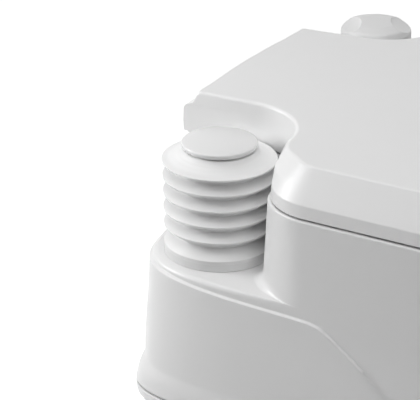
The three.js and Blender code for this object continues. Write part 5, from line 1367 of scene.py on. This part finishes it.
def vent_button():
    low, high, radius, stem, under = VENT.low[2], VENT.high[2], VENT.half[0], 2.6, VENT.high[2] - 3.2
    outline = [(0, low), (stem, low), (stem, under), (radius, under), (radius, high)]
    outline += [(radius - 2, high), (radius - 3, high - 0.5), (0, high - 0.8)]
    return lathe(rounded(outline, [0.5, 0.3, 0.4, 0.9, 0.5, 0.6], 4), (*VENT_AT, 0), 64)


COIL = {"wire": 0.7, "turns": 3, "steps": 32, "sides": 12}


def vent_spring():
    """Coil under the vent button."""
    wire, count = COIL["wire"], COIL["turns"] * COIL["steps"]
    radius = SPRING.half[0] - wire
    section = np.array(arc((0, 0), wire, 0, 360, COIL["sides"])[:-1])
    rings = []
    for k in range(count + 1):
        ahead = on_arc((0, 0), 1, math.tau * COIL["turns"] * k / count)
        z = lerp(SPRING.low[2] + wire, SPRING.high[2] - wire, k / count)
        across = SPRING.middle[:2] + np.outer(radius + section[:, 0], ahead)
        rings.append(np.column_stack([across, z + section[:, 1]]))
    return facing_out(loft(rings))


# Stage, lights and camera

CAMERA_AT = (-1312.99, -534.68, 977.52)
CAMERA_AHEAD = (0.78443, 0.45967, -0.41638)
CAMERA_RIGHT = (0.50558, -0.86278, 0.0)
CAMERA_LENS = 172.22
PLAIN_WHITE = (1, 1, 1, 1)
FLOOR_HALF = 12000
FLOOR_GREY = (0.82, 0.82, 0.82, 1)
FLOOR_GLOW = 0.75
WORLD_LIGHT = 0.01


def camera():
    data = bpy.data.cameras.new("camera")
    data.sensor_width = 36
    data.sensor_fit = "HORIZONTAL"
    data.lens = CAMERA_LENS
    data.clip_start = 0.01
    data.clip_end = 60
    obj = linked("camera", data)
    ahead, right = Vector(CAMERA_AHEAD).normalized(), Vector(CAMERA_RIGHT).normalized()
    turn = Matrix((right, right.cross(ahead), -ahead)).transposed().to_4x4()
    obj.matrix_world = Matrix.Translation(Vector(CAMERA_AT) * MM) @ turn
    bpy.context.scene.camera = obj


def background_ray(tree):
    """1 for what the camera sees directly, in a mirror or through glass, and 0 for light on the object."""
    rays = tree.nodes.new("ShaderNodeLightPath").outputs
    total = rays["Is Camera Ray"]
    for ray in ("Is Glossy Ray", "Is Transmission Ray"):
        total = added(tree, "ShaderNodeMath", {0: total, 1: rays[ray]}, operation="MAXIMUM")
    return total


def area_light(name, place, target, size, power):
    """A square lamp. place and target are in metres."""
    data = bpy.data.lights.new(name, "AREA")
    data.energy = power
    data.size = size
    obj = linked(name, data)
    obj.rotation_mode = "QUATERNION"
    obj.rotation_quaternion = (Vector(target) - Vector(place)).to_track_quat("-Z", "Y")
    obj.location = place


def floor():
    corners = [(x * FLOOR_HALF, y * FLOOR_HALF, 0) for x, y in ((-1, -1), (1, -1), (1, 1), (-1, 1))]
    obj = object_of(corners, [(0, 1, 2, 3)], "floor")
    material, tree, shader = new_material("floor_white")
    glow = added(tree, "ShaderNodeMath", {0: background_ray(tree), 1: FLOOR_GLOW}, operation="MULTIPLY")
    feed(tree, shader, {"Base Color": FLOOR_GREY, "Roughness": 0.9})
    feed(tree, shader, {"Emission Color": PLAIN_WHITE, "Emission Strength": glow})
    obj.data.materials.append(material)


def world():
    made = bpy.data.worlds.new("world")
    bpy.context.scene.world = made
    made.use_nodes = True
    tree = made.node_tree
    tree.nodes.clear()
    lighting = added(tree, "ShaderNodeBackground", {"Color": PLAIN_WHITE, "Strength": WORLD_LIGHT})
    shown = added(tree, "ShaderNodeBackground", {"Color": PLAIN_WHITE, "Strength": 1.0})
    mix = added(tree, "ShaderNodeMixShader", {"Fac": background_ray(tree), 1: lighting, 2: shown})
    feed(tree, tree.nodes.new("ShaderNodeOutputWorld"), {"Surface": mix})


def lights():
    middle, bay = (0, 0, 0.3), (-0.12, 0.13, 0.35)
    area_light("overhead", (-0.2, 0.2, 2.4), middle, 2.2, 22.5)
    area_light("rear_left", (-0.42, 0.8, 0.62), bay, 0.3, 3.9)
    area_light("front_left", (-1.2, -0.7, 2.2), middle, 1.4, 15)
    area_light("right", (2.2, -0.6, 1.4), middle, 1.4, 4)


# Assembly

camera()
world()
lights()
floor()
finish_packed_nodes()

piece(fresh_tank(), "tank_shell", "fresh_section", "fresh_tank", "shell")
piece(fresh_window(), "level_window", "fresh_section", "fresh_level_window", "clear")
piece(bowl(), "bowl_shell", "fresh_section", "bowl", "gloss_white")
piece(pump_base(), "pump_collar", "fresh_section", "pump_base", "shell")
piece(fill_neck(), "fill_neck_ring", "fresh_section", "fill_neck", "shell")
piece(fill_cap(), "fill_cap_shell", "cap", "fill_cap", "shell")
piece(pump_button(), "pump_button_cap", "pump_plunger", "pump_button", "gloss_white")
piece(seat(), "seat_ring", "seat_body", "seat", "shell")
piece(waste_tank(), "waste_shell", "waste_section", "waste_tank", "shell")
piece(round_window(), "waste_window", "waste_section", "waste_level_window", "clear")
piece(pour_spout(), "spout_elbow", "spout", "pour_spout", "shell")
piece(spout_cap(), "spout_screw_cap", "spout_end", "spout_cap", "grey_plastic")
piece(latch(-1), "latch_lever_left", "left_latch", "latch_left", "grey_plastic")
piece(latch(1), "latch_lever_right", "right_latch", "latch_right", "grey_plastic")
piece(carry_handle(), "grip_bar", "waste_section", "carry_handle", "grey_plastic")
piece(valve_handle(), "valve_pull", "valve_slide", "valve_handle", "grey_plastic")
piece(vent_button(), "vent_push", "vent", "vent_button", "grey_plastic")
for node in ["seat_buffer_1", "seat_buffer_2", "seat_buffer_3", "seat_buffer_4"]:
    piece(buffer(node), node + "_foot", "seat_body", node, "rubber")
for node in ["lid_buffer_left", "lid_buffer_right"]:
    piece(buffer(node), node + "_foot", "lid_body", node, "rubber")
piece(lid_shell(), "lid_shell", "lid_body", "lid", "shell", LID_SKIN)
folds = piece(pump_bellows(), "pump_folds", "fresh_section", "pump_bellows", "bellows", crease=40)
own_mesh(folds)
coil = piece(vent_spring(), "vent_coil", "waste_section", "vent_spring", "steel", crease=60)
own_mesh(coil)

scene = bpy.context.scene
scene.view_settings.view_transform = "Standard"
